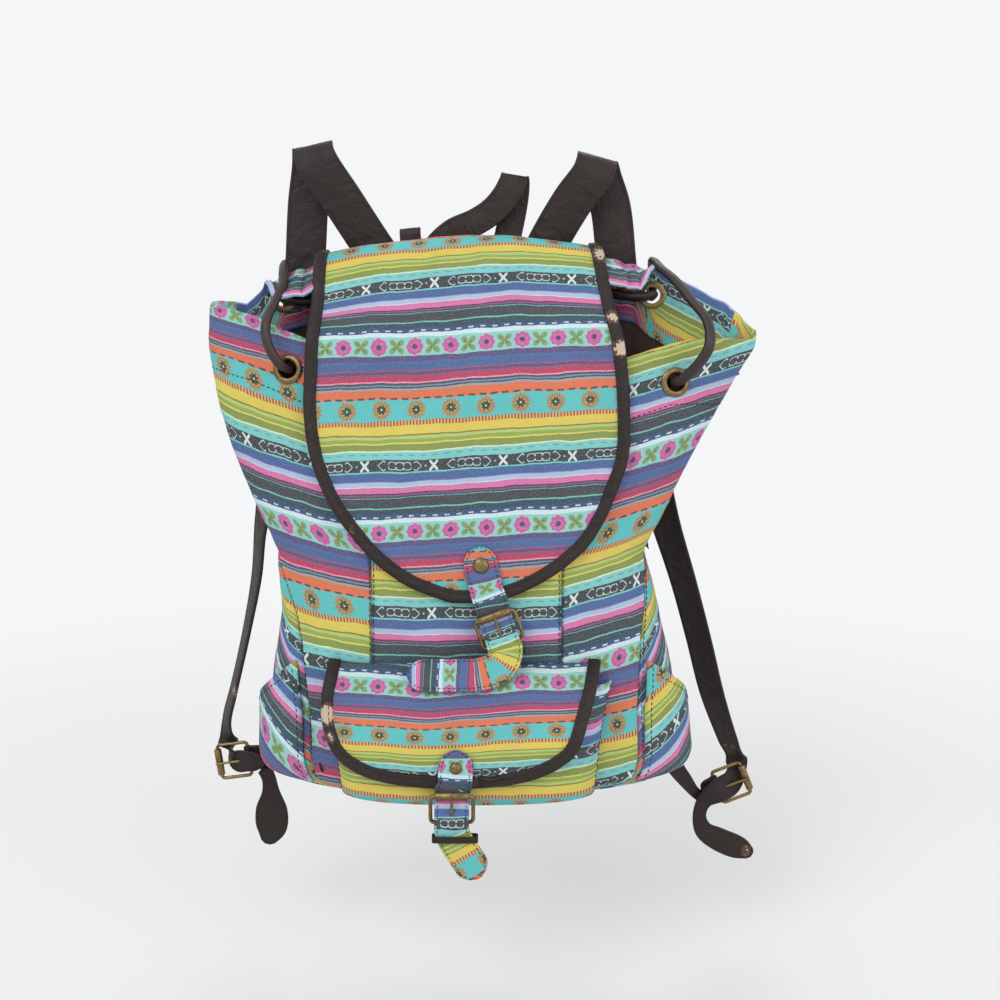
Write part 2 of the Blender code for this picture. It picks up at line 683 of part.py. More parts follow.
def buckle(prefix, pivot, along, bar, inner_width, length, tab_rows):
    """A roller buckle on its leather tab: wire frame, roller tube, prong, and the tab round the pivot bar."""
    pivot = np.array(pivot, float)
    bar = unit(bar)
    along = unit(np.array(along) - np.dot(along, bar) * bar)
    normal = np.cross(bar, along)
    if normal[1] > 0:
        normal = -normal
    half = inner_width / 2 + WIRE_R
    corner = 3.0
    outline = []
    for sx, sy, start in ((1, 1, 0), (-1, 1, 90), (-1, -1, 180), (1, -1, 270)):
        mid = np.array([sx * (half - corner), (length - corner) if sy > 0 else corner])
        for a in np.radians([start, start + 45, start + 90]):
            outline.append(mid + corner * np.array([math.cos(a), math.sin(a)]))
    wire = [pivot + bar * x + along * y for x, y in outline]
    tube(prefix + "_buckle_frame", wire, WIRE_R, BRASS, cyclic=True, origin=pivot)

    roller_at = pivot + along * length
    half_roller = half - corner - 0.6
    profile = [(ROLLER_IN, half_roller), (ROLLER_OUT, half_roller), (ROLLER_OUT, -half_roller), (ROLLER_IN, -half_roller)]
    turned(prefix + "_buckle_roller", profile, roller_at, bar, BRASS, steps=14)

    tip_reach = length + 2.5
    rest = ROLLER_OUT + PRONG_R + 0.4
    prong = hook(pivot, along, normal, HOOK_R, 360, 90, 9)
    lean = (rest - HOOK_R) / length
    prong += [pivot + normal * (HOOK_R + lean * s) + along * s for s in (length * 0.35, length * 0.7, tip_reach)]
    tube(prefix + "_buckle_prong", prong, PRONG_R, BRASS, origin=pivot)

    buckle_tab(prefix, pivot, along, bar, normal, 2 * (half - corner) - 2, tab_rows)
    return pivot, along, bar, normal


def buckle_tab(prefix, pivot, along, bar, normal, width, rows):
    """The leather folded round the pivot bar and sewn to the bag: an eye for the bar, with a slot for the prong."""
    back = pivot - rows[-1][:3]
    back = unit(back - np.dot(back, bar) * bar)
    eye = WIRE_R + BAR_PLAY
    full = 2 * (eye + CHAPE_T)
    stations = []
    for row in rows:
        turn = row[3:6] if np.dot(row[3:6], bar) > 0 else -row[3:6]
        stations.append(np.concatenate([row[:3], turn, [min(row[6], width), 2 * CHAPE_T]]))
    for reach, thick in ((-7.5, 2 * CHAPE_T), (-2.5, full * 0.92), (0, full), (2.2, full * 0.86), (full / 2, full * 0.3)):
        stations.append(np.concatenate([pivot + back * reach, bar, [width, thick]]))
    tab = strap(prefix + "_buckle_tab", stations, CHAPE_T, LEATHER, 2.6)
    ring = round_section(bar, eye, 12)
    hole = loft("tab_bar_" + prefix, [[pivot + bar * s + p for p in ring] for s in (-width, width)], LEATHER, CUTTERS)
    slot = box_loft("tab_slot_" + prefix, pivot - along * 5.5, pivot + along * 8, bar, PRONG_R + 1.3, normal, 6.5)
    for tool in (hole, slot):
        hide_cutter(tool)
        cut_with(tab, tool)


def box_loft(name, start, end, across, half_across, up, half_up):
    """A straight bar of rectangular section."""
    ring = [across * sx * half_across + up * sy * half_up for sx, sy in ((-1, -1), (1, -1), (1, 1), (-1, 1))]
    if np.dot(np.cross(across, up), end - start) < 0:
        ring.reverse()
    return loft(name, [[start + p for p in ring], [end + p for p in ring]], LEATHER, CUTTERS)


def through_buckle(place, length, width, thickness):
    """Stations of a strap behind the roller and in front of the pivot bar."""
    pivot, along, bar, normal = place
    behind = ROLLER_OUT + thickness / 2 + 0.6
    before = WIRE_R + 0.45 + CHAPE_T + thickness / 2 + 1.3
    rows = []
    for s, n in ((length + 3, -behind), (length, -behind), (length * 0.55, -behind * 0.1), (0.0, before),
                 (-5.0, before)):
        rows.append(np.concatenate([pivot + along * s + normal * n, bar, [width]]))
    return rows


def prong_slot(name, place, length, targets):
    """The hole that the prong comes through."""
    pivot, along, bar, normal = place
    tool = box_loft(name, pivot - along * 0.5 + normal * 1.0, pivot + along * length * 0.5 + normal * 1.0, bar,
                    PRONG_R + 0.9, normal, 9)
    hide_cutter(tool)
    for target in targets:
        cut_with(target, tool)


def station(x, y, z, wx, wy, wz, width):
    return np.array([x, y, z, *unit((wx, wy, wz)), width], float)


def rivet(name, centre, normal, radius):
    """A capped rivet: a low dome on a short post through the strap."""
    profile = [(0, 2.2), (radius * 0.5, 1.95), (radius * 0.86, 1.2), (radius, 0.3), (radius, 0), (0, 0)]
    return turned(name, profile, centre, normal, BRASS, steps=16)


def main_closure():
    """The strap on the flap, its rivet, and the buckle on the front panel that holds it."""
    along = np.array([-math.sin(MAIN_TURN), 0, math.cos(MAIN_TURN)])
    pivot_x, pivot_z = 27.0, -370.0
    pivot_y = front_y(pivot_x, pivot_z) - 12.4
    along = unit(along + np.array([0, BUCKLE_LEAN, 0]))
    bar = unit(np.array([math.cos(MAIN_TURN), 0, math.sin(MAIN_TURN)]))
    place = buckle("main", (pivot_x, pivot_y, pivot_z), along, bar, CLOSURE_W + 3, MAIN_BUCKLE,
                   [station(32, front_y(32, -384) - 2.4, -384, 1, 0, 0.36, 30),
                    station(31, front_y(31, -380) - 6, -380, 1, 0, 0.36, 30)])
    rows = [
        station(7, front_y(7, -299) - 7.4, -298, 1, 0, 0.05, 14),
        station(7.5, front_y(8, -302) - 7.4, -302, 1, 0, 0.07, 24),
        station(9.5, front_y(10, -312) - 7.5, -312, 1, 0, 0.1, CLOSURE_W),
        station(14, front_y(14, -332) - 8.4, -332, 0.96, 0, 0.28, CLOSURE_W),
        station(17, front_y(17, -340) - 8.6, -340, 0.94, 0, 0.34, CLOSURE_W),
    ]
    rows += through_buckle(place, MAIN_BUCKLE, CLOSURE_W, CLOSURE_T)
    tail_y = -128.0
    rows += [
        station(23, -126, -386, 0.62, -0.35, -0.7, CLOSURE_W),
        station(9, -128.5, -391, 0.1, -0.6, -0.79, CLOSURE_W),
        station(-10, tail_y, -392, 0, -0.6, -0.8, CLOSURE_W),
        station(-30, tail_y, -392, 0, -0.6, -0.8, CLOSURE_W),
        station(-42, tail_y, -392, 0, -0.6, -0.8, 20),
        station(-46, tail_y, -392, 0, -0.6, -0.8, 9),
    ]
    closure = strap("main_closure_strap", rows, CLOSURE_T, CANVAS_PINK)
    prong_slot("slot_main_strap", place, MAIN_BUCKLE, [closure])
    top = rows[2]
    rivet("main_closure_rivet", (top[0], top[1] - CLOSURE_T / 2 - RIVET_GAP, top[2]), (0, -1, 0.05), 6.0)


def pocket_closure():
    """The smaller strap on the pocket flap, with its own rivet, buckle and keeper loop."""
    pivot_x, pivot_z = -12.0, -497.0
    pivot_y = pocket_point(pivot_x, -468)[1] - 14.0
    along = unit((0.03, BUCKLE_LEAN, 0.99))
    bar = unit((1, 0, 0))
    place = buckle("pocket", (pivot_x, pivot_y, pivot_z), along, bar, CLOSURE_W + 3, POCKET_BUCKLE,
                   [station(-12, pocket_point(-12, -486)[1] - 2.2, -486, 1, 0, 0, 30),
                    station(-12, pocket_point(-12, -490)[1] - 5.5, -491, 1, 0, 0, 30)])
    rows = [
        station(-9, pocket_flap_point(-9, -444)[1] - 2.0, -444, 1, 0, 0, 14),
        station(-9, pocket_flap_point(-9, -448)[1] - 2.1, -448, 1, 0, 0, 24),
        station(-9, pocket_flap_point(-9, -457)[1] - 2.8, -457, 1, 0, 0, CLOSURE_W),
        station(-9.5, pocket_flap_point(-9, -464)[1] - 3.6, -464, 1, 0, 0, CLOSURE_W),
        station(-10, pocket_flap_point(-9, -472)[1] - 3.6, -472, 1, 0, 0, CLOSURE_W),
    ]
    rows += through_buckle(place, POCKET_BUCKLE, CLOSURE_W, CLOSURE_T)
    low_y = rows[-1][1]
    rows += [
        station(-6, low_y - 0.3, -514, 0.95, 0, 0.3, CLOSURE_W),
        station(3, low_y - 1.5, -528, 0.88, 0, 0.45, 24),
        station(9, low_y - 2.5, -537, 0.86, 0, 0.5, 12),
    ]
    closure = strap("pocket_closure_strap", rows, CLOSURE_T, CANVAS_PINK)
    prong_slot("slot_pocket_strap", place, POCKET_BUCKLE, [closure])
    top = rows[2]
    rivet("pocket_closure_rivet", (top[0], top[1] - CLOSURE_T / 2 - RIVET_GAP, top[2]), (0, -1, 0), 4.6)
    loop_z, loop_y = -507.0, low_y + 0.2
    half_w, half_t = CLOSURE_W / 2 + 3.0 + KEEPER_WALL, CLOSURE_T / 2 + 1.5 + KEEPER_WALL
    points = [(-9.5 + sx * half_w, loop_y + sy * half_t, loop_z + up)
              for up in (-KEEPER_H / 2, KEEPER_H / 2)
              for sx, sy in ((1, 1), (-1, 1), (-1, -1), (1, -1))]
    closed_sheet("pocket_strap_keeper", points, grid_faces(2, 4, closed=True), LEATHER, KEEPER_WALL)


def shoulder_straps():
    """The two leather shoulder straps: from the top of the back, over the hanging line, down to the side buckles."""
    left_along = unit((-0.99, 0, -0.13))
    left_bar = unit((0.13, 0, -0.99))
    left = buckle("left_strap", (-192, -12, -504), left_along, left_bar, ADJUST_W + 3, SIDE_BUCKLE,
                  [station(-166, -17, -499, 0.1, 0, -1, 20), station(-176, -12, -502, 0.1, 0, -1, 20)])
    upper = [
        station(-62, -1.5, -96, 0.85, 0, 0.53, STRAP_W),
        station(-80, -1.0, -70, 0.85, 0, 0.53, STRAP_W),
        station(-103, -6, -34, 0.85, 0, 0.53, STRAP_W),
        station(-120, -9, -8, 0.92, 0, 0.4, STRAP_W),
        station(-125, -6.5, 3, 0.97, 0, 0.24, STRAP_W),
        station(-126, 0, 7.5, 0.97, 0, 0.23, STRAP_W),
        station(-127, 6.5, 3, 0.98, 0, 0.2, STRAP_W),
        station(-128, 9, -8, 0.99, 0, 0.1, STRAP_W),
        station(-132, 9, -36, 1, 0, 0, STRAP_W),
        station(-136, 8, -90, 1, 0, 0, STRAP_W),
        station(-142, 8, -150, 1, 0, 0, STRAP_W),
        station(-152, 9, -210, 0.97, -0.2, 0, STRAP_W),
        station(-168, 7, -262, 0.8, -0.6, 0, 31),
        station(-178, 4, -300, 0.5, -0.86, 0, 29),
        station(-183, 2, -345, 0.42, -0.9, 0, 27),
        station(-193, -1, -395, 0.35, -0.93, 0, 26),
        station(-205, -4, -445, 0.35, -0.93, 0, 25),
        station(-212, -3, -472, 0.35, -0.8, -0.3, 22),
        station(-212, -4, -489, 0.4, -0.3, -0.85, 18),
    ]
    pivot, along, bar, normal = left
    rows = upper + [
        np.concatenate([pivot + along * 13 - normal * 0.6, bar, [20]]),
        np.concatenate([pivot + along * 1 + normal * 6.4, bar, [19]]),
        station(-181, -19.5, -507, 0.5, 0, -0.86, 14),
        station(-175, -20, -517, 0.85, 0.1, -0.5, 12),
        station(-173, -20, -530, 1, 0, -0.1, 15),
        station(-173, -19, -547, 1, 0, 0, 27),
        station(-174, -18, -566, 1, 0, 0.05, 26),
        station(-178, -17, -580, 1, 0, 0.1, 10),
    ]
    made = strap("left_shoulder_strap", rows, STRAP_T, LEATHER, STRAP_STEP)
    prong_slot("slot_left_strap", left, SIDE_BUCKLE, [made])

    right_bar = unit((0.38, 0, -0.925))
    right_along = unit((0.925, 0, 0.38))
    right = buckle("right_strap", (212, -12, -531), right_along, right_bar, ADJUST_W + 3, SIDE_BUCKLE,
                   [station(168, -30, -498, -0.82, 0, -0.57, 16), station(181, -21, -518, -0.75, 0, -0.66, 13),
                    station(197, -13.5, -537, -0.25, 0, -0.97, 11)])
    pivot, along, bar, normal = right
    upper = [
        station(50, -1.5, -96, 0.85, 0, -0.53, STRAP_W),
        station(62, -1.0, -70, 0.85, 0, -0.53, STRAP_W),
        station(82, -6, -36, 0.87, 0, -0.5, STRAP_W),
        station(97, -9, -16, 0.93, 0, -0.35, STRAP_W),
        station(101, -6.5, -6, 0.96, 0, -0.28, STRAP_W),
        station(102, 0, -1.5, 0.96, 0, -0.28, STRAP_W),
        station(103, 6.5, -6, 0.97, 0, -0.25, STRAP_W),
        station(106, 9, -16, 0.99, 0, -0.12, STRAP_W),
        station(114, 9, -40, 1, 0, 0, STRAP_W),
        station(120, 8, -90, 1, 0, 0, STRAP_W),
        station(128, 8, -150, 1, 0, 0, STRAP_W),
        station(139, 9, -210, 1, -0.1, 0, STRAP_W),
        station(153, 8, -262, 0.9, -0.4, 0, 31),
        station(164, 6, -300, 0.8, -0.6, 0, 29),
        station(180, 3, -350, 0.75, -0.66, 0, 27),
        station(194, 0, -400, 0.75, -0.66, 0, 26),
        station(207, -3, -450, 0.75, -0.66, 0, 25),
        station(222, -4, -492, 0.7, -0.6, -0.3, 22),
        station(230, -5, -512, 0.5, -0.1, -0.85, 19),
    ]
    rows = upper + [
        np.concatenate([pivot + along * 14 - normal * 0.6, bar, [22]]),
        np.concatenate([pivot + along * 1 + normal * 6.2, bar, [22]]),
        station(200, -19.5, -540, 0.6, 0, -0.8, 14),
        station(196, -20, -553, 0.95, 0.1, -0.1, 12),
        station(200, -20, -566, 0.8, 0.1, 0.5, 16),
        station(213, -19, -575, 0.6, 0, 0.8, 21),
        station(232, -18, -584, 0.45, 0, 0.9, 20),
        station(243, -17, -590, 0.45, 0, 0.9, 9),
    ]
    made = strap("right_shoulder_strap", rows, STRAP_T, LEATHER, STRAP_STEP)
    prong_slot("slot_right_strap", right, SIDE_BUCKLE, [made])


def haul_loop():
    """The carrying loop and a small folded tab beside it, both sewn behind the crest of the flap."""
    strap("haul_loop", [
        station(-36, -1.5, -90, 0.89, 0, -0.45, 22),
        station(-28, -1.4, -73, 0.79, 0, -0.62, 22),
        station(-14, -0.8, -60, 0.45, 0, -0.89, 22),
        station(4, -1.5, -52, 0.45, -0.1, -0.89, 22),
        station(18, -3, -43, 0.64, -0.1, -0.77, 22),
        station(28, -4, -32, 0.86, 0, -0.5, 22),
        station(34, -3.4, -21, 0.95, 0, -0.3, 22),
        station(36, 0.5, -15.5, 0.97, 0, -0.2, 22),
        station(37, 4.4, -21, 0.98, 0, -0.1, 22),
        station(36, 5, -34, 1, 0, 0.1, 22),
        station(31, 4, -60, 1, 0, 0.1, 22),
        station(25, -0.6, -84, 1, 0, 0.1, 22),
    ], 2.0, LEATHER)
    strap("small_tab", [
        station(-46, 1.8, -90, 1, 0, 0.1, 17),
        station(-48, 1.8, -74, 1, 0, 0.1, 17),
        station(-49, 1.6, -61, 1, 0, 0.1, 17),
        station(-49, 3.2, -57, 1, 0, 0.1, 17),
        station(-49, 4.8, -61, 1, 0, 0.1, 17),
        station(-48, 4.8, -72, 1, 0, 0.1, 17),
    ], 1.5, LEATHER)


def drawstring():
    """One cord round the mouth: out of the front eyelets, over the back rim and in at the back eyelets. Its two
    ends meet in a knot inside the front, behind the flap."""
    fl, fl_n = eyelet_place("eyelet_front_left")
    fr, fr_n = eyelet_place("eyelet_front_right")
    bl, bl_n = eyelet_place("eyelet_back_left")
    br, br_n = eyelet_place("eyelet_back_right")
    route = [
        (-9, -62, -190), (-40, -62, -187), (-85, -58, -179), (-120, -50, -170), fl - fl_n * 10, fl + fl_n * 4,
        fl + fl_n * 12 + (-4, 0, 4), (-153, -76, -146), (-155, -70, -130), (-150, -58, -115), (-146, -44, -102),
        (-147, -30, -91), (-149, -17, -86), (-151, -6, -90), (-151, -2, -101), bl + bl_n * 7, bl - bl_n * 8,
        (-134, -31, -115), (-95, -24, -112), (-45, -19, -106), (0, -18.5, -104), (50, -19, -104), (95, -23, -106),
        (132, -30, -111), br - br_n * 8, br + br_n * 7, (148, -2, -99), (148, -5, -87), (147, -16, -83),
        (150, -30, -88), (160, -46, -98), (172, -62, -114), (182, -76, -130), (182, -84, -148),
        fr + fr_n * 13 + (8, 0, 8), fr + fr_n * 4, fr - fr_n * 10, (138, -52, -182), (95, -60, -188), (45, -63, -190),
        (9, -62, -190),
    ]
    points = smooth_route(route, 14.0)
    tube("drawstring", points, CORD_R, LEATHER)
    knot = [(0, 4.0), (5, 3.2), (7.8, 1.5), (8.4, 0), (7.8, -1.5), (5, -3.2), (0, -4.0)]
    turned("drawstring_knot", knot, (0, -57.5, -190), (0, 0, 1), LEATHER, steps=14)


clear_scene()
BAG = new_collection("canvas_backpack")
CUTTERS = new_collection("cutters")
base_panel()
mouth_facing = lining(body_panels())
eyelets(mouth_facing)
main_flap()
front_pocket()
pocket_flap()
side_pocket("left_side_pocket", "back_left", "side_left", True)
side_pocket("right_side_pocket", "side_right", "back_right_again", False)
main_closure()
pocket_closure()
shoulder_straps()
haul_loop()
drawstring()
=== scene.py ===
"""Canvas drawstring backpack: striped cloth, leather trim, stitching, brass, cord and stage, fitted to the frame.

Lengths inside the functions are millimetres on the frame's axes, and meshes are written in metres. The outlines,
seams and strap routes repeat those of the construction, so that each dressed piece lies where its solid is.
"""

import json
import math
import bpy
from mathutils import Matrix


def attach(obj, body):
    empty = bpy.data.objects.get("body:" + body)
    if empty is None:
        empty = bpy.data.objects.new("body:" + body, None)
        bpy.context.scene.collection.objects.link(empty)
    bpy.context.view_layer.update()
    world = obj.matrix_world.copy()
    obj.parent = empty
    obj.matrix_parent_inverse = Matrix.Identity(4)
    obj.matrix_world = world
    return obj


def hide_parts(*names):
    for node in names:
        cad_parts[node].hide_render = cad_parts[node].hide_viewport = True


bl_info = {
    "name": "Canvas Drawstring Backpack",
    "version": (1, 0, 0),
    "blender": (4, 5, 0),
    "location": "View3D > Sidebar > Backpack",
    "description": "Striped canvas, leather trim, brass buckles and a stage for a hanging drawstring backpack",
    "category": "Add Mesh",
}

from functools import lru_cache

import bpy
import numpy as np
from mathutils import Vector, noise

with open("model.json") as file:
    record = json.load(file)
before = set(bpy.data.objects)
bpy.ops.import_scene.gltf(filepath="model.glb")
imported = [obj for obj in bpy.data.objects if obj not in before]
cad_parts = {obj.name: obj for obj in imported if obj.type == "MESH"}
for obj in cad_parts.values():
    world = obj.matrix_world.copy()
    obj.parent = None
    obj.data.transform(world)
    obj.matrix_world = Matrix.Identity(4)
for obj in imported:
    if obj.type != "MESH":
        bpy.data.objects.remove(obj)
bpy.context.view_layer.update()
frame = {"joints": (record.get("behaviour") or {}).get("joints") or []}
JOINTS = {joint["name"]: joint for joint in frame["joints"]}

MM = 0.001
BAG = "bag"
UP = np.array([0.0, 0.0, 1.0])

# Cloth and leather, in millimetres
CLOTH_WALL = 0.9
FLAP_T = 2.0
FLAP_CLEAR = 2.7
STRAP_T = 2.6
STRAP_W = 33.0
CLOSURE_W = 26.0
CLOSURE_T = 2.4
BINDING_W = 10.0
BINDING_WALL = 1.0
BINDING_SLOT = 0.7
PANEL_T = 1.6

# Body sections from the mouth down: height, left edge, right edge, back, front, and two roundness powers
SECTIONS = np.array([
    (-60, -198, 236, -8, -48, 5.5, 2.0),
    (-110, -204, 232, -8, -55, 4.5, 2.0),
    (-150, -206, 222, -7, -66, 3.4, 2.0),
    (-200, -198, 195, -6, -78, 2.6, 2.0),
    (-250, -182, 169, -5, -88, 2.3, 2.0),
    (-310, -153, 138, -4, -98, 2.3, 2.1),
    (-360, -152, 154, -3, -103, 2.5, 2.3),
    (-420, -161, 167, -1, -108, 2.8, 2.6),
    (-470, -167, 175, 0, -110, 3.0, 2.8),
    (-510, -166, 174, 0, -108, 3.0, 2.8),
], float)
FRONT_RIM = np.array([(-205, -118), (-170, -127), (-126, -145), (0, -168), (122, -159), (170, -145),
                      (228, -146)], float)
BACK_RIM = np.array([(-205, -116), (-182, -119), (-150, -94), (-110, -84), (-10, -70), (100, -79), (150, -92),
                     (200, -119), (228, -144)], float)
BOTTOM_Z = -503.0
BOTTOM_RISE = 12.0
BOTTOM_HALF_WIDTH = 172.0
BOTTOM_R = 16.0

# Seams: the front and back seams are at these X, and the side seams lie at an arc length from the side fold
FRONT_SEAMS = (-76.0, 72.0)
BACK_SEAMS = (-130.0, 124.0)
SIDE_SEAM = np.array([(-60, -22), (-250, -22), (-290, -10), (-330, 18), (-378, 42), (-430, 60), (-510, 76)], float)
SEAM_GAP = 0.6

# Main flap: outline (height, left, right), crest height by X, and profile over the mouth
FLAP_OUTLINE = np.array([(-60, -117, 99), (-100, -117, 105), (-131, -119, 112), (-162, -121, 117), (-200, -122, 119),
                         (-233, -117, 118), (-263, -106, 108), (-279, -95, 101), (-299, -79, 88), (-317, -61, 68),
                         (-333, -32, 37), (-340, -9, 14)], float)
FLAP_CREST = np.array([(-124, -79), (-61, -68), (-16, -64), (40, -64), (100, -72)], float)
FLAP_PROFILE = np.array([(-32, 0), (-16, 0), (-4, -5), (0, -11), (-1, -21), (-8, -35), (-24, -49), (-48, -61)], float)
FLAP_LOW = (-140.0, -168.0, -200.0, -233.0, -254.0, -270.0, -284.0, -298.0, -310.0, -321.0, -330.0, -336.0, -340.0)
FLAP_OFF = np.array([(-130, 9), (-175, 6.5), (-260, 4.6), (-345, 4.4)], float)

# Front pocket and its flap
POCKET_TOP = -404.0
POCKET_EDGES = np.array([(-395, -111, 113), (-440, -105, 103), (-500, -99, 97)], float)
POCKET_DEPTH = 30.0
POCKET_MOUTH = 0.55
POCKET_FOOT = 4.0
POCKET_FLAP = np.array([(-389, -104, 97), (-412, -107, 90), (-430, -106, 84), (-445, -100, 79), (-454, -93, 70),
                        (-461, -82, 58), (-467, -67, 44), (-471, -42, 22), (-473, -18, 2)], float)

# Side pockets: height of the top edge at the front seam, at the side fold and at the back seam
SIDE_POCKET_TOP = (-392.0, -442.0, -452.0)
SIDE_POCKET_BULGE = 6.0
SIDE_POCKET_FOOT = 8.0

# Eyelets: X, height, and which wall they are set in
EYELETS = {
    "eyelet_front_left": (-140.0, -166.0, -1),
    "eyelet_front_right": (160.0, -176.0, -1),
    "eyelet_back_left": (-150.0, -113.0, 1),
    "eyelet_back_right": (147.0, -110.0, 1),
}
EYELET_R, EYELET_HOLE_R, EYELET_BARREL_R = 11.5, 6.6, 7.6

# Buckles: wire radius, roller radii, prong radius, and the play of the bar in its leather eye
WIRE_R = 1.5
ROLLER_IN, ROLLER_OUT = 1.85, 3.1
PRONG_R = 1.1
CHAPE_T = 1.6
BAR_PLAY = 0.45
HOOK_R = WIRE_R + 0.35 + PRONG_R
MAIN_BUCKLE = 22.0
POCKET_BUCKLE = 20.0
CORD_R = 4.0

# The mouth's back edge rolls forwards over the crest between these X, with this radius, turn and extra length
ROLL_SPAN = (-176.0, -150.0, 132.0, 156.0)
ROLL_R = 8.0
ROLL_TURN = math.radians(118)
ROLL_EXTRA = 34.0
HEM = 4.6
LINING_DEPTH = 3.0

# Cloth character, and how fine the dressed pieces are
FOLD_DEPTH = 3.4
GATHER_DEPTH = 3.2
FLAP_SLACK = 2.6
GRID_STEP = 3.0
FOOT_RISES = (0.0, 0.5, 1.4, 2.8, 4.8, 7.5, 10.5, 14.0)
MIDDLE_ROWS, TOP_ROWS = 86, 36
FLAP_ROWS, FLAP_COLUMNS = 118, 84
POCKET_ROWS, POCKET_COLUMNS = 56, 92
MERGE_WITHIN = 0.00001

# One repeat of the printed stripes from the turquoise band down: name and width in 1/185 of the repeat
STRIPE_UNITS = 185.0
STRIPE_REPEAT = STRIPE_UNITS * 0.7675
STRIPES = (
    ("turquoise", 21.0), ("straw", 5.0), ("yellow", 8.0), ("olive", 1.5), ("pale_green", 3.5), ("leaf", 3.5),
    ("lemon", 1.3), ("moss", 6.2), ("cream", 1.5), ("aqua", 8.0), ("ink", 12.0), ("aqua", 0.8),
    ("blue", 8.0), ("violet", 1.0), ("ice", 4.2), ("white", 1.0), ("pink", 5.5), ("plum", 1.5), ("mauve", 1.4),
    ("plum", 2.0), ("charcoal", 9.4), ("mint", 1.8), ("charcoal", 1.2), ("petrol", 4.2), ("navy", 4.6),
    ("white", 4.2), ("water", 19.0), ("dusk", 5.0), ("blue", 8.8), ("mauve", 2.0), ("grape", 2.0), ("mauve", 2.4),
    ("crimson", 5.0), ("rose", 1.8), ("slate", 1.6), ("grey_blue", 2.0), ("plum", 1.4), ("grey", 2.0), ("orange", 8.9),
)
DYES = {
    "turquoise": (88, 196, 196), "straw": (216, 186, 96), "yellow": (226, 204, 84), "olive": (128, 132, 48),
    "pale_green": (186, 204, 112), "leaf": (150, 172, 76), "lemon": (226, 216, 96), "moss": (136, 152, 70),
    "cream": (222, 240, 196), "aqua": (124, 206, 202), "ink": (44, 56, 62), "blue": (66, 100, 156),
    "violet": (150, 112, 184), "ice": (172, 196, 226), "white": (214, 236, 240), "pink": (222, 118, 172),
    "plum": (82, 48, 78), "mauve": (136, 84, 128), "charcoal": (58, 62, 72), "mint": (112, 196, 186),
    "petrol": (38, 70, 90), "navy": (46, 76, 124), "water": (140, 212, 204), "dusk": (66, 80, 132),
    "grape": (104, 62, 112), "crimson": (190, 50, 92), "rose": (244, 152, 178), "slate": (62, 74, 104),
    "grey_blue": (110, 150, 168), "grey": (152, 164, 168), "orange": (226, 114, 74),
}
STARBURST_SPACING = 26.6
FLOWER_SPACING = 27.4
CHAIN_SPACING = 53.0

# Other colours that the panel shows: label and colour, 0 to 255
COLOURS = {
    "leather_dark": ("Leather, dark", (27, 20, 19)), "leather_light": ("Leather, light", (47, 34, 31)),
    "leather_rubbed": ("Leather, rubbed", (92, 64, 48)), "leather_backing": ("Leather backing", (196, 178, 154)),
    "lining_dark": ("Lining, dark", (46, 33, 31)), "lining_light": ("Lining, light", (62, 45, 41)),
    "cord_dark": ("Cord, dark", (28, 21, 20)), "cord_light": ("Cord, light", (56, 41, 36)),
    "thread_dark": ("Thread, dark", (24, 22, 22)), "thread_light": ("Thread, light", (40, 36, 34)),
    "brass_dark": ("Brass, dark", (70, 55, 36)), "brass_bright": ("Brass, bright", (168, 142, 96)),
    "brass_patina": ("Brass patina", (58, 44, 32)), "room": ("Room", (251.6, 252.75, 255)),
}

# Where the print lies on each wall: V at a height, V per millimetre down, tilt at the top and at the foot, and the
# distance from the panel's front edge at which that holds
PRINT = {
    "front_panel": (192.6, -350.5, 0.97, 0.0, 0.0, 0.0),
    "front_left_panel": (8.1, -175.0, 0.87, 0.30, 0.10, 89.0),
    "front_right_panel": (50.7, -181.0, 0.94, 0.25, 0.18, 57.0),
}
HEM_PRINT = 69.0

# Camera, as the photo was taken: looking a little down, from about a metre
CAMERA_AT = (24.0, -1034.8, -97.6)
CAMERA_TILT = math.radians(80)
CAMERA_LENS = 45.0
FLOOR_Z = -668.0

# Lamps: name, place in metres, width in metres and watts; and the room's strength as light and as seen
LAMPS = (("key", (-1.3, -1.9, 1.6), 1.6, 34), ("fill", (1.7, -1.6, 0.6), 1.8, 17), ("rim", (0.2, 1.6, 1.5), 1.5, 16))
LAMPS_AIM = (0.01, -0.05, -0.29)
ROOM_LIGHT, ROOM_SEEN = 0.62, 0.94

# Routes of the leather strips: place, direction of the width, width
LEFT_STRAP_TOP = (
    (-62, -1.5, -96, 0.85, 0, 0.53, STRAP_W), (-80, -1.0, -70, 0.85, 0, 0.53, STRAP_W),
    (-103, -6, -34, 0.85, 0, 0.53, STRAP_W), (-120, -9, -8, 0.92, 0, 0.4, STRAP_W),
    (-125, -6.5, 3, 0.97, 0, 0.24, STRAP_W), (-126, 0, 7.5, 0.97, 0, 0.23, STRAP_W),
    (-127, 6.5, 3, 0.98, 0, 0.2, STRAP_W), (-128, 9, -8, 0.99, 0, 0.1, STRAP_W),
    (-132, 9, -36, 1, 0, 0, STRAP_W), (-136, 8, -90, 1, 0, 0, STRAP_W), (-142, 8, -150, 1, 0, 0, STRAP_W),
    (-152, 9, -210, 0.97, -0.2, 0, STRAP_W), (-168, 7, -262, 0.8, -0.6, 0, 31),
    (-178, 4, -300, 0.5, -0.86, 0, 29), (-183, 2, -345, 0.42, -0.9, 0, 27),
    (-193, -1, -395, 0.35, -0.93, 0, 26), (-205, -4, -445, 0.35, -0.93, 0, 25),
    (-212, -3, -472, 0.35, -0.8, -0.3, 22), (-212, -4, -489, 0.4, -0.3, -0.85, 18),
)
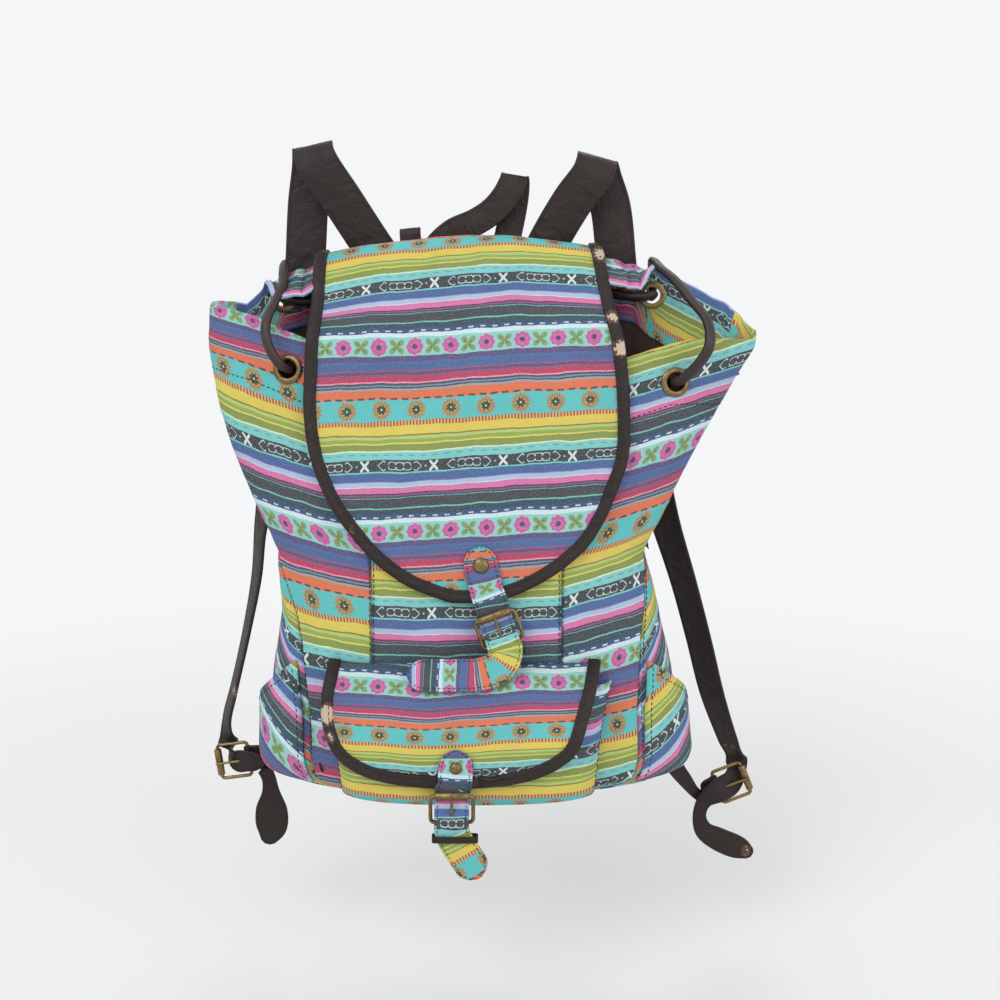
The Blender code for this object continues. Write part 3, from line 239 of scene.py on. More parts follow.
LEFT_STRAP_TAIL = (
    (-181, -19.5, -507, 0.5, 0, -0.86, 14), (-175, -20, -517, 0.85, 0.1, -0.5, 12),
    (-173, -20, -530, 1, 0, -0.1, 15), (-173, -19, -547, 1, 0, 0, 27), (-174, -18, -566, 1, 0, 0.05, 26),
    (-178, -17, -580, 1, 0, 0.1, 10),
)
RIGHT_STRAP_TOP = (
    (50, -1.5, -96, 0.85, 0, -0.53, STRAP_W), (62, -1.0, -70, 0.85, 0, -0.53, STRAP_W),
    (82, -6, -36, 0.87, 0, -0.5, STRAP_W), (97, -9, -16, 0.93, 0, -0.35, STRAP_W),
    (101, -6.5, -6, 0.96, 0, -0.28, STRAP_W), (102, 0, -1.5, 0.96, 0, -0.28, STRAP_W),
    (103, 6.5, -6, 0.97, 0, -0.25, STRAP_W), (106, 9, -16, 0.99, 0, -0.12, STRAP_W),
    (114, 9, -40, 1, 0, 0, STRAP_W), (120, 8, -90, 1, 0, 0, STRAP_W), (128, 8, -150, 1, 0, 0, STRAP_W),
    (139, 9, -210, 1, -0.1, 0, STRAP_W), (153, 8, -262, 0.9, -0.4, 0, 31), (164, 6, -300, 0.8, -0.6, 0, 29),
    (180, 3, -350, 0.75, -0.66, 0, 27), (194, 0, -400, 0.75, -0.66, 0, 26),
    (207, -3, -450, 0.75, -0.66, 0, 25), (222, -4, -492, 0.7, -0.6, -0.3, 22),
    (230, -5, -512, 0.5, -0.1, -0.85, 19),
)
RIGHT_STRAP_TAIL = (
    (200, -19.5, -540, 0.6, 0, -0.8, 14), (196, -20, -553, 0.95, 0.1, -0.1, 12),
    (200, -20, -566, 0.8, 0.1, 0.5, 16), (213, -19, -575, 0.6, 0, 0.8, 21), (232, -18, -584, 0.45, 0, 0.9, 20),
    (243, -17, -590, 0.45, 0, 0.9, 9),
)
HAUL_LOOP = (
    (-36, -1.5, -90, 0.89, 0, -0.45, 22), (-28, -1.4, -73, 0.79, 0, -0.62, 22),
    (-14, -0.8, -60, 0.45, 0, -0.89, 22), (4, -1.5, -52, 0.45, -0.1, -0.89, 22),
    (18, -3, -43, 0.64, -0.1, -0.77, 22), (28, -4, -32, 0.86, 0, -0.5, 22), (34, -3.4, -21, 0.95, 0, -0.3, 22),
    (36, 0.5, -15.5, 0.97, 0, -0.2, 22), (37, 4.4, -21, 0.98, 0, -0.1, 22), (36, 5, -34, 1, 0, 0.1, 22),
    (31, 4, -60, 1, 0, 0.1, 22), (25, -0.6, -84, 1, 0, 0.1, 22),
)
SMALL_TAB = (
    (-46, 1.8, -90, 1, 0, 0.1, 17), (-48, 1.8, -74, 1, 0, 0.1, 17), (-49, 1.6, -61, 1, 0, 0.1, 17),
    (-49, 3.2, -57, 1, 0, 0.1, 17), (-49, 4.8, -61, 1, 0, 0.1, 17), (-48, 4.8, -72, 1, 0, 0.1, 17),
)

# The body's walls: name and the seams they lie between, in order round the body
WALLS = (
    ("back_panel", "back_right", "back_left"), ("left_gusset", "back_left", "side_left"),
    ("front_left_panel", "side_left", "front_left"), ("front_panel", "front_left", "front_right"),
    ("front_right_panel", "front_right", "side_right"), ("right_gusset", "side_right", "back_right_again"),
)


def size(name):
    """A size set in the panel, in millimetres."""
    return getattr(bpy.context.scene.backpack_sizes, name) / MM


# Lines and surfaces, worked out in millimetres


def mixed(a, b, start, end, t):
    return (a * (end - t) + b * (t - start)) / (end - start)


def lengths_along(points):
    """Distance of each point from the first, along the line through them."""
    return np.concatenate([[0], np.cumsum(np.linalg.norm(np.diff(points, axis=0), axis=1))])


def evenly(fine, count):
    """This many evenly spaced rows of numbers along a fine line; columns 0 to 2 are the place."""
    lengths = lengths_along(fine[:, :3])
    even = np.linspace(0, lengths[-1], count)
    return np.stack([np.interp(even, lengths, fine[:, i]) for i in range(fine.shape[1])], axis=1)


def smooth_route(points, step):
    """Rows of numbers along a centripetal Catmull-Rom curve, about a step apart; columns 0 to 2 are the place."""
    p = np.array(points, float)
    p = np.vstack([2 * p[0] - p[1], p, 2 * p[-1] - p[-2]])
    fine = []
    for i in range(1, len(p) - 2):
        spans = [max(np.linalg.norm(p[j + 1, :3] - p[j, :3]), 0.01) ** 0.5 for j in range(i - 1, i + 2)]
        k0, k1, k2, k3 = np.cumsum([0] + spans)
        for t in np.linspace(k1, k2, 24, endpoint=False):
            a1 = mixed(p[i - 1], p[i], k0, k1, t)
            a2 = mixed(p[i], p[i + 1], k1, k2, t)
            a3 = mixed(p[i + 1], p[i + 2], k2, k3, t)
            b1 = mixed(a1, a2, k0, k2, t)
            b2 = mixed(a2, a3, k1, k3, t)
            fine.append(mixed(b1, b2, k1, k2, t))
    fine.append(p[-2])
    fine = np.array(fine)
    return evenly(fine, max(2, int(round(lengths_along(fine[:, :3])[-1] / step)) + 1))


def unit(v):
    v = np.array(v, float)
    return v / np.linalg.norm(v)


def station(x, y, z, wx, wy, wz, width):
    return np.array([x, y, z, *unit((wx, wy, wz)), width], float)


@lru_cache(maxsize=None)
def outline_at(z, inset=0.0):
    """The body's outline at one height: X, Y and arc length, from the right fold round the back."""
    left, right, back, front, m, k = (np.interp(-z, -SECTIONS[:, 0], SECTIONS[:, i]) for i in range(1, 7))
    t = np.linspace(0, 2 * np.pi, 721)
    c, s = np.cos(t), np.sin(t)
    x = (left + right) / 2 + ((right - left) / 2 - inset) * np.sign(c) * np.abs(c) ** (2 / m)
    y = (back + front) / 2 + ((back - front) / 2 - inset) * np.sign(s) * np.abs(s) ** (2 / k)
    return x, y, np.concatenate([[0], np.cumsum(np.hypot(np.diff(x), np.diff(y)))])


def arc_at_x(outline, x, side):
    """Arc length where the back (side 1) or front (side -1) wall passes this X."""
    xs, _, arcs = outline
    if side > 0:
        return np.interp(-x, -xs[:361], arcs[:361])
    return np.interp(x, xs[360:], arcs[360:])


@lru_cache(maxsize=None)
def seam_arcs(z, inset=0.0):
    """Arc lengths of the six seams, in order from the right back seam round the back and the front."""
    outline = outline_at(z, inset)
    arcs = outline[2]
    side = np.interp(-z, -SIDE_SEAM[:, 0], SIDE_SEAM[:, 1])
    return {
        "back_right": arc_at_x(outline, BACK_SEAMS[1], 1),
        "back_left": arc_at_x(outline, BACK_SEAMS[0], 1),
        "side_left": arcs[360] + side,
        "front_left": arc_at_x(outline, FRONT_SEAMS[0], -1),
        "front_right": arc_at_x(outline, FRONT_SEAMS[1], -1),
        "side_right": arcs[-1] - side,
        "back_right_again": arcs[-1] + arc_at_x(outline, BACK_SEAMS[1], 1),
    }


def bottom_z(x):
    return BOTTOM_Z + BOTTOM_RISE * min(1.0, (x / BOTTOM_HALF_WIDTH) ** 2)


def rim_z(x, y, middle):
    """Height of the mouth's edge over a point of the wall."""
    table = BACK_RIM if y > middle else FRONT_RIM
    return float(np.interp(x, table[:, 0], table[:, 1]))


def wall_inset(rise):
    """How far the wall stands in from the section, at a height over the bottom: the lower edge is rounded."""
    return BOTTOM_R - math.sqrt(BOTTOM_R ** 2 - max(BOTTOM_R - rise, 0.0) ** 2)


def snapped(z, inset):
    """Heights and insets in small steps, so that outlines are worked out once."""
    return round(float(z) * 4) / 4, round(float(inset) * 5) / 5


def wall_point(first, last, share, z, rise, trim=SEAM_GAP, out=0.0):
    """The wall at a share of the way between two seams, at one height, and the wall's width there."""
    z, inset = snapped(z, wall_inset(rise) - out)
    arcs = seam_arcs(z, inset)
    xs, ys, lengths = outline_at(z, inset)
    start, end = arcs[first] + trim, arcs[last] - trim
    arc = (start + (end - start) * share) % lengths[-1]
    return np.interp(arc, lengths, xs), np.interp(arc, lengths, ys), end - start


def wall_y(x, z, side):
    """Depth of the body's back (side 1) or front (side -1) wall."""
    outline = outline_at(*snapped(z, 0))
    return float(np.interp(arc_at_x(outline, x, side), outline[2], outline[1]))


def front_y(x, z):
    return wall_y(x, z, -1)


def back_y(x, z):
    return wall_y(x, z, 1)


def wall_normal(x, z, side):
    """Outward normal of the front or back wall."""
    depth = front_y if side < 0 else back_y
    step = 2.0
    along_x = np.array([2 * step, depth(x + step, z) - depth(x - step, z), 0])
    along_z = np.array([0, depth(x, z + step) - depth(x, z - step), 2 * step])
    normal = unit(np.cross(along_x, along_z))
    return normal if normal[1] * side > 0 else -normal


def eyelet_place(name):
    x, z, side = EYELETS[name]
    y = front_y(x, z) if side < 0 else back_y(x, z)
    return np.array([x, y, z]), wall_normal(x, z, side)


def flap_point(x, row):
    """The main flap's outer face at an X: rows from its sewn edge behind the crest to its tip."""
    crest = np.interp(x, FLAP_CREST[:, 0], FLAP_CREST[:, 1])
    if row < len(FLAP_PROFILE):
        down, y = FLAP_PROFILE[row]
        fade = 1 - max(0.0, row - 3) / (len(FLAP_PROFILE) + 2)
        level = FLAP_CREST[2, 1] + fade * (crest - FLAP_CREST[2, 1])
        z = level + down
        if row < 2:
            return np.array([x, back_y(x, z) + FLAP_T + FLAP_CLEAR, z])
        drop = 6.0 * max(0, row - 4) / 4
        return np.array([x, y + drop * (x / 115) ** 2, z])
    z = FLAP_LOW[row - len(FLAP_PROFILE)]
    off = np.interp(-z, -FLAP_OFF[:, 0], FLAP_OFF[:, 1])
    return np.array([x, front_y(x, z) - off, z])


def outline_grid(point_at, row_levels, outline, columns, edge):
    """Rows of a flap across its outline, widened by edge on both sides."""
    grid = []
    for row, level in row_levels:
        left, right = (np.interp(-level, -outline[:, 0], outline[:, i]) for i in (1, 2))
        across = [left - edge + (right - left + 2 * edge) * c / (columns - 1) for c in range(columns)]
        grid.append([point_at(x, row) for x in across])
    return grid


def pocket_depth(x, z):
    """How far the front pocket stands out from the front wall."""
    left, right = (np.interp(-z, -POCKET_EDGES[:, 0], POCKET_EDGES[:, i]) for i in (1, 2))
    across = abs((x - (left + right) / 2) / ((right - left) / 2))
    down = (POCKET_TOP - z) / (POCKET_TOP - bottom_z(x) - POCKET_FOOT)
    side = max(0.0, 1 - min(across, 1.0) ** 7) ** 0.5
    lower = max(0.0, 1 - max(0.0, (down - 0.75) / 0.25) ** 3) ** 0.5
    return POCKET_DEPTH * side * lower * (POCKET_MOUTH + (1 - POCKET_MOUTH) * min(1.0, max(down, 0.0) / 0.45))


def pocket_point(x, z, off=0.0):
    return np.array([x, front_y(x, z) - 2.4 - off - pocket_depth(x, z), z])


def pocket_flap_point(x, z):
    """Outer face of the pocket flap: sewn to the front wall above the pocket, then over it."""
    over = min(1.0, max(0.0, (POCKET_FLAP[0, 0] - z) / 18.0))
    free = front_y(x, z) - FLAP_T - FLAP_CLEAR - (POCKET_DEPTH * POCKET_MOUTH + 3.0) * math.sin(over * math.pi / 2)
    if z > POCKET_TOP + 2:
        return np.array([x, free, z])
    under = min(pocket_point(x + dx, z + dz)[1] for dx in (-14, -7, 0, 7, 14) for dz in (-4, 0, 4))
    return np.array([x, min(free, under - FLAP_T - 2.4), z])


def hook(pivot, along, normal, radius, first, last, count):
    """Points of an arc round a bar, from an angle to another, counted from along towards the front normal."""
    return [np.array(pivot) + radius * (math.cos(a) * along + math.sin(a) * normal)
            for a in np.radians(np.linspace(first, last, count))]


def through_buckle(place, length, width, thickness):
    """Stations of a strap behind the roller and in front of the pivot bar."""
    pivot, along, bar, normal = place
    behind = ROLLER_OUT + thickness / 2 + 0.6
    before = WIRE_R + 0.45 + CHAPE_T + thickness / 2 + 1.3
    rows = []
    for s, n in ((length + 3, -behind), (length, -behind), (length * 0.55, -behind * 0.1), (0.0, before),
                 (-5.0, before)):
        rows.append(np.concatenate([pivot + along * s + normal * n, bar, [width]]))
    return rows


def smooth_step(value, low, high):
    t = np.clip((value - low) / (high - low), 0, 1)
    return t * t * (3 - 2 * t)


def drift(points, size, seed):
    """Smooth noise from -1 to 1 at each point, with features about size millimetres across."""
    shift = Vector((seed, seed * 1.7, seed * 0.3))
    flat = [noise.noise(Vector(p) / size + shift) for p in points.reshape(-1, 3)]
    return np.array(flat).reshape(points.shape[:-1])


def resampled(points, count):
    """Evenly spaced points along a smooth curve through the given ones."""
    return evenly(smooth_route(points, 1.0), count)


def refined(grid, rows, columns):
    """A coarse grid of points made fine along smooth curves, first down its columns and then across."""
    grid = np.array(grid, float)
    down = np.stack([resampled(grid[:, c], rows) for c in range(grid.shape[1])], axis=1)
    return np.stack([resampled(row, columns) for row in down])


def grid_normals(grid, closed=False):
    """Outward unit normals of a grid whose rows run up and whose columns run round the body."""
    if closed:
        across = np.roll(grid, -1, axis=1) - np.roll(grid, 1, axis=1)
    else:
        across = np.gradient(grid, axis=1)
    normal = np.cross(across, np.gradient(grid, axis=0))
    return normal / np.maximum(np.linalg.norm(normal, axis=2, keepdims=True), 1e-9)


def grid_faces(rows, columns, closed=False):
    """Quads of a grid whose points are stored row by row."""
    r, c = np.meshgrid(np.arange(rows - 1), np.arange(columns if closed else columns - 1), indexing="ij")
    r, c = r.ravel(), c.ravel()
    after = (c + 1) % columns
    return np.stack([r * columns + c, r * columns + after, (r + 1) * columns + after, (r + 1) * columns + c], axis=1)


def deselect():
    bpy.ops.object.select_all(action="DESELECT")


def make_active(obj):
    deselect()
    obj.select_set(True)
    bpy.context.view_layer.objects.active = obj


def apply_modifiers(obj):
    make_active(obj)
    for modifier in list(obj.modifiers):
        bpy.ops.object.modifier_apply(modifier=modifier.name)
    return obj


def face_outwards(obj, merge=False):
    """Turns the faces outwards, after merging the points that meet where that is asked for."""
    make_active(obj)
    bpy.ops.object.mode_set(mode="EDIT")
    bpy.ops.mesh.select_all(action="SELECT")
    if merge:
        bpy.ops.mesh.remove_doubles(threshold=MERGE_WITHIN)
    bpy.ops.mesh.normals_make_consistent(inside=False)
    bpy.ops.object.mode_set(mode="OBJECT")
    return obj


def new_piece(name, points, faces, finish, corner_uv=None):
    """A piece from points in millimetres, smooth shaded, with its cloth map if it has one."""
    mesh = bpy.data.meshes.new(name)
    mesh.from_pydata((np.array(points) * MM).tolist(), [], [list(map(int, f)) for f in faces])
    if corner_uv is not None:
        layer = mesh.uv_layers.new(name="Cloth")
        layer.data.foreach_set("uv", np.array(corner_uv, np.float32).ravel())
    mesh.materials.append(finish)
    mesh.shade_smooth()
    obj = bpy.data.objects.new(name, mesh)
    bpy.context.scene.collection.objects.link(obj)
    return obj


def settle(obj, slot, *nodes, body=BAG):
    """The piece moves with its body and stands for its solids; slot is not used."""
    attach(obj, body)
    if nodes:
        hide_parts(*nodes)
    return obj


def cloth(name, grid, uv, finish, wall=CLOTH_WALL, offset=-1.0, closed=False, breaks=(), holes=()):
    """A sheet of cloth over a grid, given its wall by Solidify. uv holds millimetres along and across the print."""
    rows, columns = grid.shape[:2]
    faces = grid_faces(rows, columns, closed)
    span = columns if closed else columns - 1
    r, c = (a.ravel() for a in np.meshgrid(np.arange(rows - 1), np.arange(span), indexing="ij"))
    after = (c + 1) % columns
    corners = np.stack([uv[r, c], uv[r, after], uv[r + 1, after], uv[r + 1, c]], axis=1)
    step = np.array([GRID_STEP, 0])
    for edge in breaks:
        at = c == edge
        corners[at, 1] = corners[at, 0] + step
        corners[at, 2] = corners[at, 3] + step
    points = grid.reshape(-1, 3)
    keep = np.ones(len(faces), bool)
    for centre, normal, radius in holes:
        away = points[faces].mean(axis=1) - centre
        along = away @ normal
        aside = np.linalg.norm(away - along[:, None] * normal, axis=1)
        keep &= (aside > radius) | (np.abs(along) > 16)
    faces, corners = faces[keep], corners[keep]
    used = np.zeros(len(points), bool)
    used[faces.ravel()] = True
    index = np.cumsum(used) - 1
    obj = new_piece(name, points[used], index[faces], finish, corners.reshape(-1, 2))
    solid = obj.modifiers.new("Wall", "SOLIDIFY")
    solid.thickness = wall * MM
    solid.offset = offset
    solid.use_even_offset = True
    return apply_modifiers(obj)


def loft(name, sections, finish, uv=None, closed=False):
    """A solid through sections that all have the same number of points; open at neither end unless it is a ring."""
    sections = np.array(sections)
    rows, columns = sections.shape[:2]
    points = sections.reshape(-1, 3)
    around = lengths_along(np.vstack([sections[rows // 2], sections[rows // 2][:1]]))
    along = lengths_along(sections.mean(axis=1))
    faces = [tuple(f) for f in grid_faces(rows, columns, closed=True)]
    if uv is None:
        u, v = np.meshgrid(around, along)
    else:
        u, v = uv
    corner = []
    for row in range(rows - 1):
        for column in range(columns):
            corner += [(u[row, column], v[row, column]), (u[row, column + 1], v[row, column + 1]),
                       (u[row + 1, column + 1], v[row + 1, column + 1]), (u[row + 1, column], v[row + 1, column])]
    if closed:
        for column in range(columns):
            after = (column + 1) % columns
            start = (rows - 1) * columns
            faces.append((start + column, start + after, after, column))
            corner += [(u[-1, column], v[-1, column]), (u[-1, column + 1], v[-1, column + 1]),
                       (u[-1, column + 1], v[-1, column + 1]), (u[-1, column], v[-1, column])]
    else:
        faces.append(tuple(reversed(range(columns))))
        faces.append(tuple((rows - 1) * columns + i for i in range(columns)))
        corner += [(u[0, i], v[0, i]) for i in reversed(range(columns))]
        corner += [(u[-1, i], v[-1, i]) for i in range(columns)]
    return face_outwards(new_piece(name, points, faces, finish, corner))


class Strip:
    """A flat strip along stations (place, direction of its width, width), at close steps."""

    def __init__(self, stations, step, thickness, round_start=False, round_end=False):
        rows = np.array([s[:7] for s in stations], float)
        for i in range(1, len(rows)):
            if np.dot(rows[i, 3:6], rows[i - 1, 3:6]) < 0:
                rows[i, 3:6] *= -1
        rows = smooth_route(rows, step)
        self.middle = rows[:, :3]
        self.thickness = thickness
        tangent = np.gradient(self.middle, axis=0)
        self.tangent = tangent / np.linalg.norm(tangent, axis=1, keepdims=True)
        across = rows[:, 3:6] - np.sum(rows[:, 3:6] * self.tangent, axis=1, keepdims=True) * self.tangent
        self.across = across / np.linalg.norm(across, axis=1, keepdims=True)
        self.normal = np.cross(self.tangent, self.across)
        self.along = lengths_along(self.middle)
        self.half = rows[:, 6] / 2
        for wanted, way in ((round_start, self.along), (round_end, self.along[-1] - self.along)):
            if wanted:
                radius = self.half.max()
                into = np.clip(radius - way, 0, radius * 0.985)
                self.half = np.minimum(self.half, np.sqrt(radius ** 2 - into ** 2))

    def stitch_runs(self, inset, off):
        """Points and normals along both edges and on both faces, this far in and this far off the middle layer."""
        aside = self.across * np.maximum(self.half - inset, 0)[:, None]
        return [(self.middle + aside * side + self.normal * (face * off), self.normal * face)
                for side in (-1, 1) for face in (-1, 1)]

    def sections(self, groove=0.18):
        """Rounded edges, a bead along each, and a shallow groove where the stitching sits."""
        t = self.thickness / 2
        outline = []
        for share in (-1, 1):
            for a in np.radians((-60, -30, 0, 30, 60)):
                outline.append((share, -t * (1 - math.cos(a)), share * t * math.sin(a)))
            top = share * t
            for side in (share, -share):
                levels = ((1.1, 1.0), (2.4, 1.0 - groove * 1.3), (4.2, 1.0))
                levels = levels if side == share else tuple(reversed(levels))
                for inset, high in levels:
                    outline.append((side, -inset, top * high))
        result = []
        for side, shift, lift in outline:
            aside = np.maximum(self.half + shift, self.half * 0.15) * side
            result.append(self.middle + self.across * aside[:, None] + self.normal * lift)
        return np.stack(result, axis=1)

    def solid(self, name, finish, print_along=None, groove=0.18):
        sections = self.sections(groove)
        aside = np.sum((sections - self.middle[:, None]) * self.across[:, None], axis=2)
        u = np.hstack([aside, aside[:, :1]])
        along = self.along if print_along is None else print_along(self.along, self.along[-1])
        v = np.repeat(along[:, None], u.shape[1], axis=1)
        return loft(name, sections, finish, (u, v))


def tube_sections(path, width, height, across, count=16):
    """Oval sections along a path; across gives the direction of the oval's width at each point."""
    path = np.array(path)
    tangent = np.gradient(path, axis=0)
    tangent = tangent / np.linalg.norm(tangent, axis=1, keepdims=True)
    across = across - np.sum(across * tangent, axis=1, keepdims=True) * tangent
    across = across / np.linalg.norm(across, axis=1, keepdims=True)
    normal = np.cross(tangent, across)
    angles = np.linspace(0, 2 * np.pi, count, endpoint=False)
    wide = np.sign(np.cos(angles)) * np.abs(np.cos(angles)) ** 0.7
    high = np.sign(np.sin(angles)) * np.abs(np.sin(angles)) ** 0.8
    return (path[:, None] + across[:, None] * (wide * width / 2)[None, :, None]
            + normal[:, None] * (high * height / 2)[None, :, None])


def stitches(name, runs, finish, length, gap, radius):
    """Thread along each run of (points, normals): short, slightly sunk stitches with round ends."""
    points, faces = [], []
    for path, normals in runs:
        path, normals = np.array(path), np.array(normals)
        lengths = lengths_along(path)
        if lengths[-1] < length:
            continue
        for start in np.arange(gap / 2, lengths[-1] - length, length + gap):
            ends = [np.array([np.interp(s, lengths, path[:, i]) for i in range(3)])
                    for s in (start, start + length / 2, start + length)]
            normal = unit([np.interp(start, lengths, normals[:, i]) for i in range(3)])
            tangent = unit(ends[2] - ends[0])
            side = unit(np.cross(tangent, normal))
            base = len(points)
            points.append(ends[0] - normal * radius * 0.6)
            for share, size in ((0.18, 0.85), (0.5, 1.0), (0.82, 0.85)):
                centre = ends[0] * (1 - share) + ends[2] * share
                for a in np.linspace(0, 2 * math.pi, 5, endpoint=False):
                    points.append(centre + radius * size * (math.cos(a) * side + math.sin(a) * normal))
            points.append(ends[2] - normal * radius * 0.6)
            for i in range(5):
                j = (i + 1) % 5
                faces.append((base, base + 1 + j, base + 1 + i))
                for ring in (0, 5):
                    faces.append((base + 1 + ring + i, base + 1 + ring + j, base + 6 + ring + j, base + 6 + ring + i))
                faces.append((base + 16, base + 11 + i, base + 11 + j))
    return face_outwards(new_piece(name, points, faces, finish))


def turned(name, profile, centre, axis, finish, steps=48):
    """A profile (radius, height) spun about an axis through centre, closed and facing outwards."""
    deselect()
    bpy.ops.mesh.primitive_circle_add(vertices=len(profile), fill_type="NOTHING", location=(0, 0, 0))
    obj = bpy.context.object
    obj.name = obj.data.name = name
    axis = Vector(unit(axis))
    turn = axis.to_track_quat("Z", "Y")
    place = Vector(centre)
    for vertex, (radius, height) in zip(obj.data.vertices, profile):
        vertex.co = (turn @ Vector((radius, 0, height)) + place) * MM
    bpy.ops.object.mode_set(mode="EDIT")
    bpy.ops.mesh.select_all(action="SELECT")
    bpy.ops.mesh.spin(steps=steps, angle=2 * math.pi, center=place * MM, axis=axis)
    bpy.ops.object.mode_set(mode="OBJECT")
    face_outwards(obj, merge=True)
    obj.data.materials.append(finish)
    obj.data.shade_smooth()
    bpy.ops.object.shade_smooth_by_angle(angle=math.radians(40))
    return obj


def wire(name, points, radii, finish, cyclic=False):
    """A round wire through close points, with a radius at each."""
    curve = bpy.data.curves.new(name, "CURVE")
    curve.dimensions = "3D"
    curve.bevel_depth = MM
    curve.bevel_resolution = 5
    curve.use_fill_caps = not cyclic
    spline = curve.splines.new("POLY")
    spline.points.add(len(points) - 1)
    for knot, place, radius in zip(spline.points, points, radii):
        knot.co = (*(np.array(place) * MM), 1)
        knot.radius = radius
    spline.use_cyclic_u = cyclic
    obj = bpy.data.objects.new(name, curve)
    bpy.context.scene.collection.objects.link(obj)
    make_active(obj)
    bpy.ops.object.convert(target="MESH")
    obj = bpy.context.object
    obj.data.materials.append(finish)
    face_outwards(obj, merge=True)
    bpy.ops.object.shade_smooth_by_angle(angle=math.radians(50))
    return obj


# Finishes, all made of nodes


def math_operator(operation, reflected=False):
    """A Python operator that adds a Math node."""
    def method(self, other=0.0):
        first, second = (other, self) if reflected else (self, other)
        return self.shader.math(operation, first, second)
    return method


class Value:
    """A node's output; arithmetic and comparisons on it add Math nodes."""

    def __init__(self, shader, socket):
        self.shader = shader
        self.socket = socket

    __add__ = __radd__ = math_operator("ADD")
    __mul__ = __rmul__ = math_operator("MULTIPLY")
    __sub__, __rsub__ = math_operator("SUBTRACT"), math_operator("SUBTRACT", reflected=True)
    __truediv__, __rtruediv__ = math_operator("DIVIDE"), math_operator("DIVIDE", reflected=True)
    __mod__, __rmod__ = math_operator("FLOORED_MODULO"), math_operator("FLOORED_MODULO", reflected=True)
    __lt__, __gt__ = math_operator("LESS_THAN"), math_operator("GREATER_THAN")
    __abs__ = math_operator("ABSOLUTE")


def linear(colour):
    """A printed colour, 0 to 255, as the shader's own red, green, blue and alpha."""
    shares = [c / 255 for c in colour]
    return (*(s / 12.92 if s <= 0.04045 else ((s + 0.055) / 1.055) ** 2.4 for s in shares), 1.0)


class Nodes:
    """Short ways to add nodes to a material's or the world's tree."""

    def __init__(self, tree):
        self.tree = tree

    def node(self, kind, settings=None, inputs=None, output=0):
        """A node of this kind: its settings first, a ramp's stops among them, then its sockets' values or links."""
        made = self.tree.nodes.new(kind)
        for key, value in (settings or {}).items():
            if key == "stops":
                self.fill_ramp(made.color_ramp, value)
            else:
                setattr(made, key, value)
        for key, value in (inputs or {}).items():
            self.feed(made.inputs[key], value)
        return Value(self, made.outputs[output])

    def fill_ramp(self, ramp, stops):
        """Flat colours: each stop is where its colour starts and the colour, the first one at 0."""
        ramp.interpolation = "CONSTANT"
        ramp.elements[1].position = 1.0
        ramp.elements[0].position, ramp.elements[0].color = 0.0, stops[0][1]
        for start, colour in stops[1:]:
            ramp.elements.new(start).color = colour
        ramp.elements[-1].color = stops[-1][1]

    def feed(self, socket, value):
        if isinstance(value, Value):
            self.tree.links.new(value.socket, socket)
        else:
            socket.default_value = value

    def math(self, operation, a, b=0.0):
        return self.node("ShaderNodeMath", {"operation": operation}, {0: a, 1: b})

    def mix(self, share, a, b, blend="MIX"):
        return self.node("ShaderNodeMix", {"data_type": "RGBA", "blend_type": blend}, {0: share, 6: a, 7: b}, 2)

    def steps(self, place, stops):
        return self.node("ShaderNodeValToRGB", {"stops": stops}, {0: place})

    def texture(self, kind, scale, place=None, detail=3.0, **more):
        inputs = {"Scale": scale, "Vector": place if place is not None else self.place()}
        if kind == "ShaderNodeTexNoise":
            inputs["Detail"] = detail
        inputs.update(more)
        return self.node(kind, None, inputs)

    def place(self):
        return self.node("ShaderNodeTexCoord", None, None, "Object")

    def cloth_map(self):
        """The piece's own map, and from it the millimetres across and along the cloth."""
        where = self.node("ShaderNodeUVMap", {"uv_map": "Cloth"})
        return where, *(self.node("ShaderNodeSeparateXYZ", None, {0: where}, axis) for axis in (0, 1))

    def shows_room(self):
        """1 for a ray from the camera, in a reflection or through glass, and 0 for the rays that light the object."""
        camera, glossy, through = (self.node("ShaderNodeLightPath", None, None, "Is %s Ray" % kind)
                                   for kind in ("Camera", "Glossy", "Transmission"))
        return self.math("MAXIMUM", self.math("MAXIMUM", camera, glossy), through)


class Shader(Nodes):
    """One material: its Principled shader, and the nodes before it."""

    def __init__(self, name, roughness=0.6, metallic=0.0):
        self.material = bpy.data.materials.new(name)
        self.material.use_nodes = True
        super().__init__(self.material.node_tree)
        self.surface = self.tree.nodes["Principled BSDF"]
        self.surface.inputs["Roughness"].default_value = roughness
        self.surface.inputs["Metallic"].default_value = metallic

    def finish(self, colour, height=None, strength=0.5, reach=0.0004, roughness=None):
        self.feed(self.surface.inputs["Base Color"], colour)
        if roughness is not None:
            self.feed(self.surface.inputs["Roughness"], roughness)
        if height is not None:
            bump = self.node("ShaderNodeBump", None, {"Strength": strength, "Distance": reach, "Height": height})
            self.feed(self.surface.inputs["Normal"], bump)
        return self.material


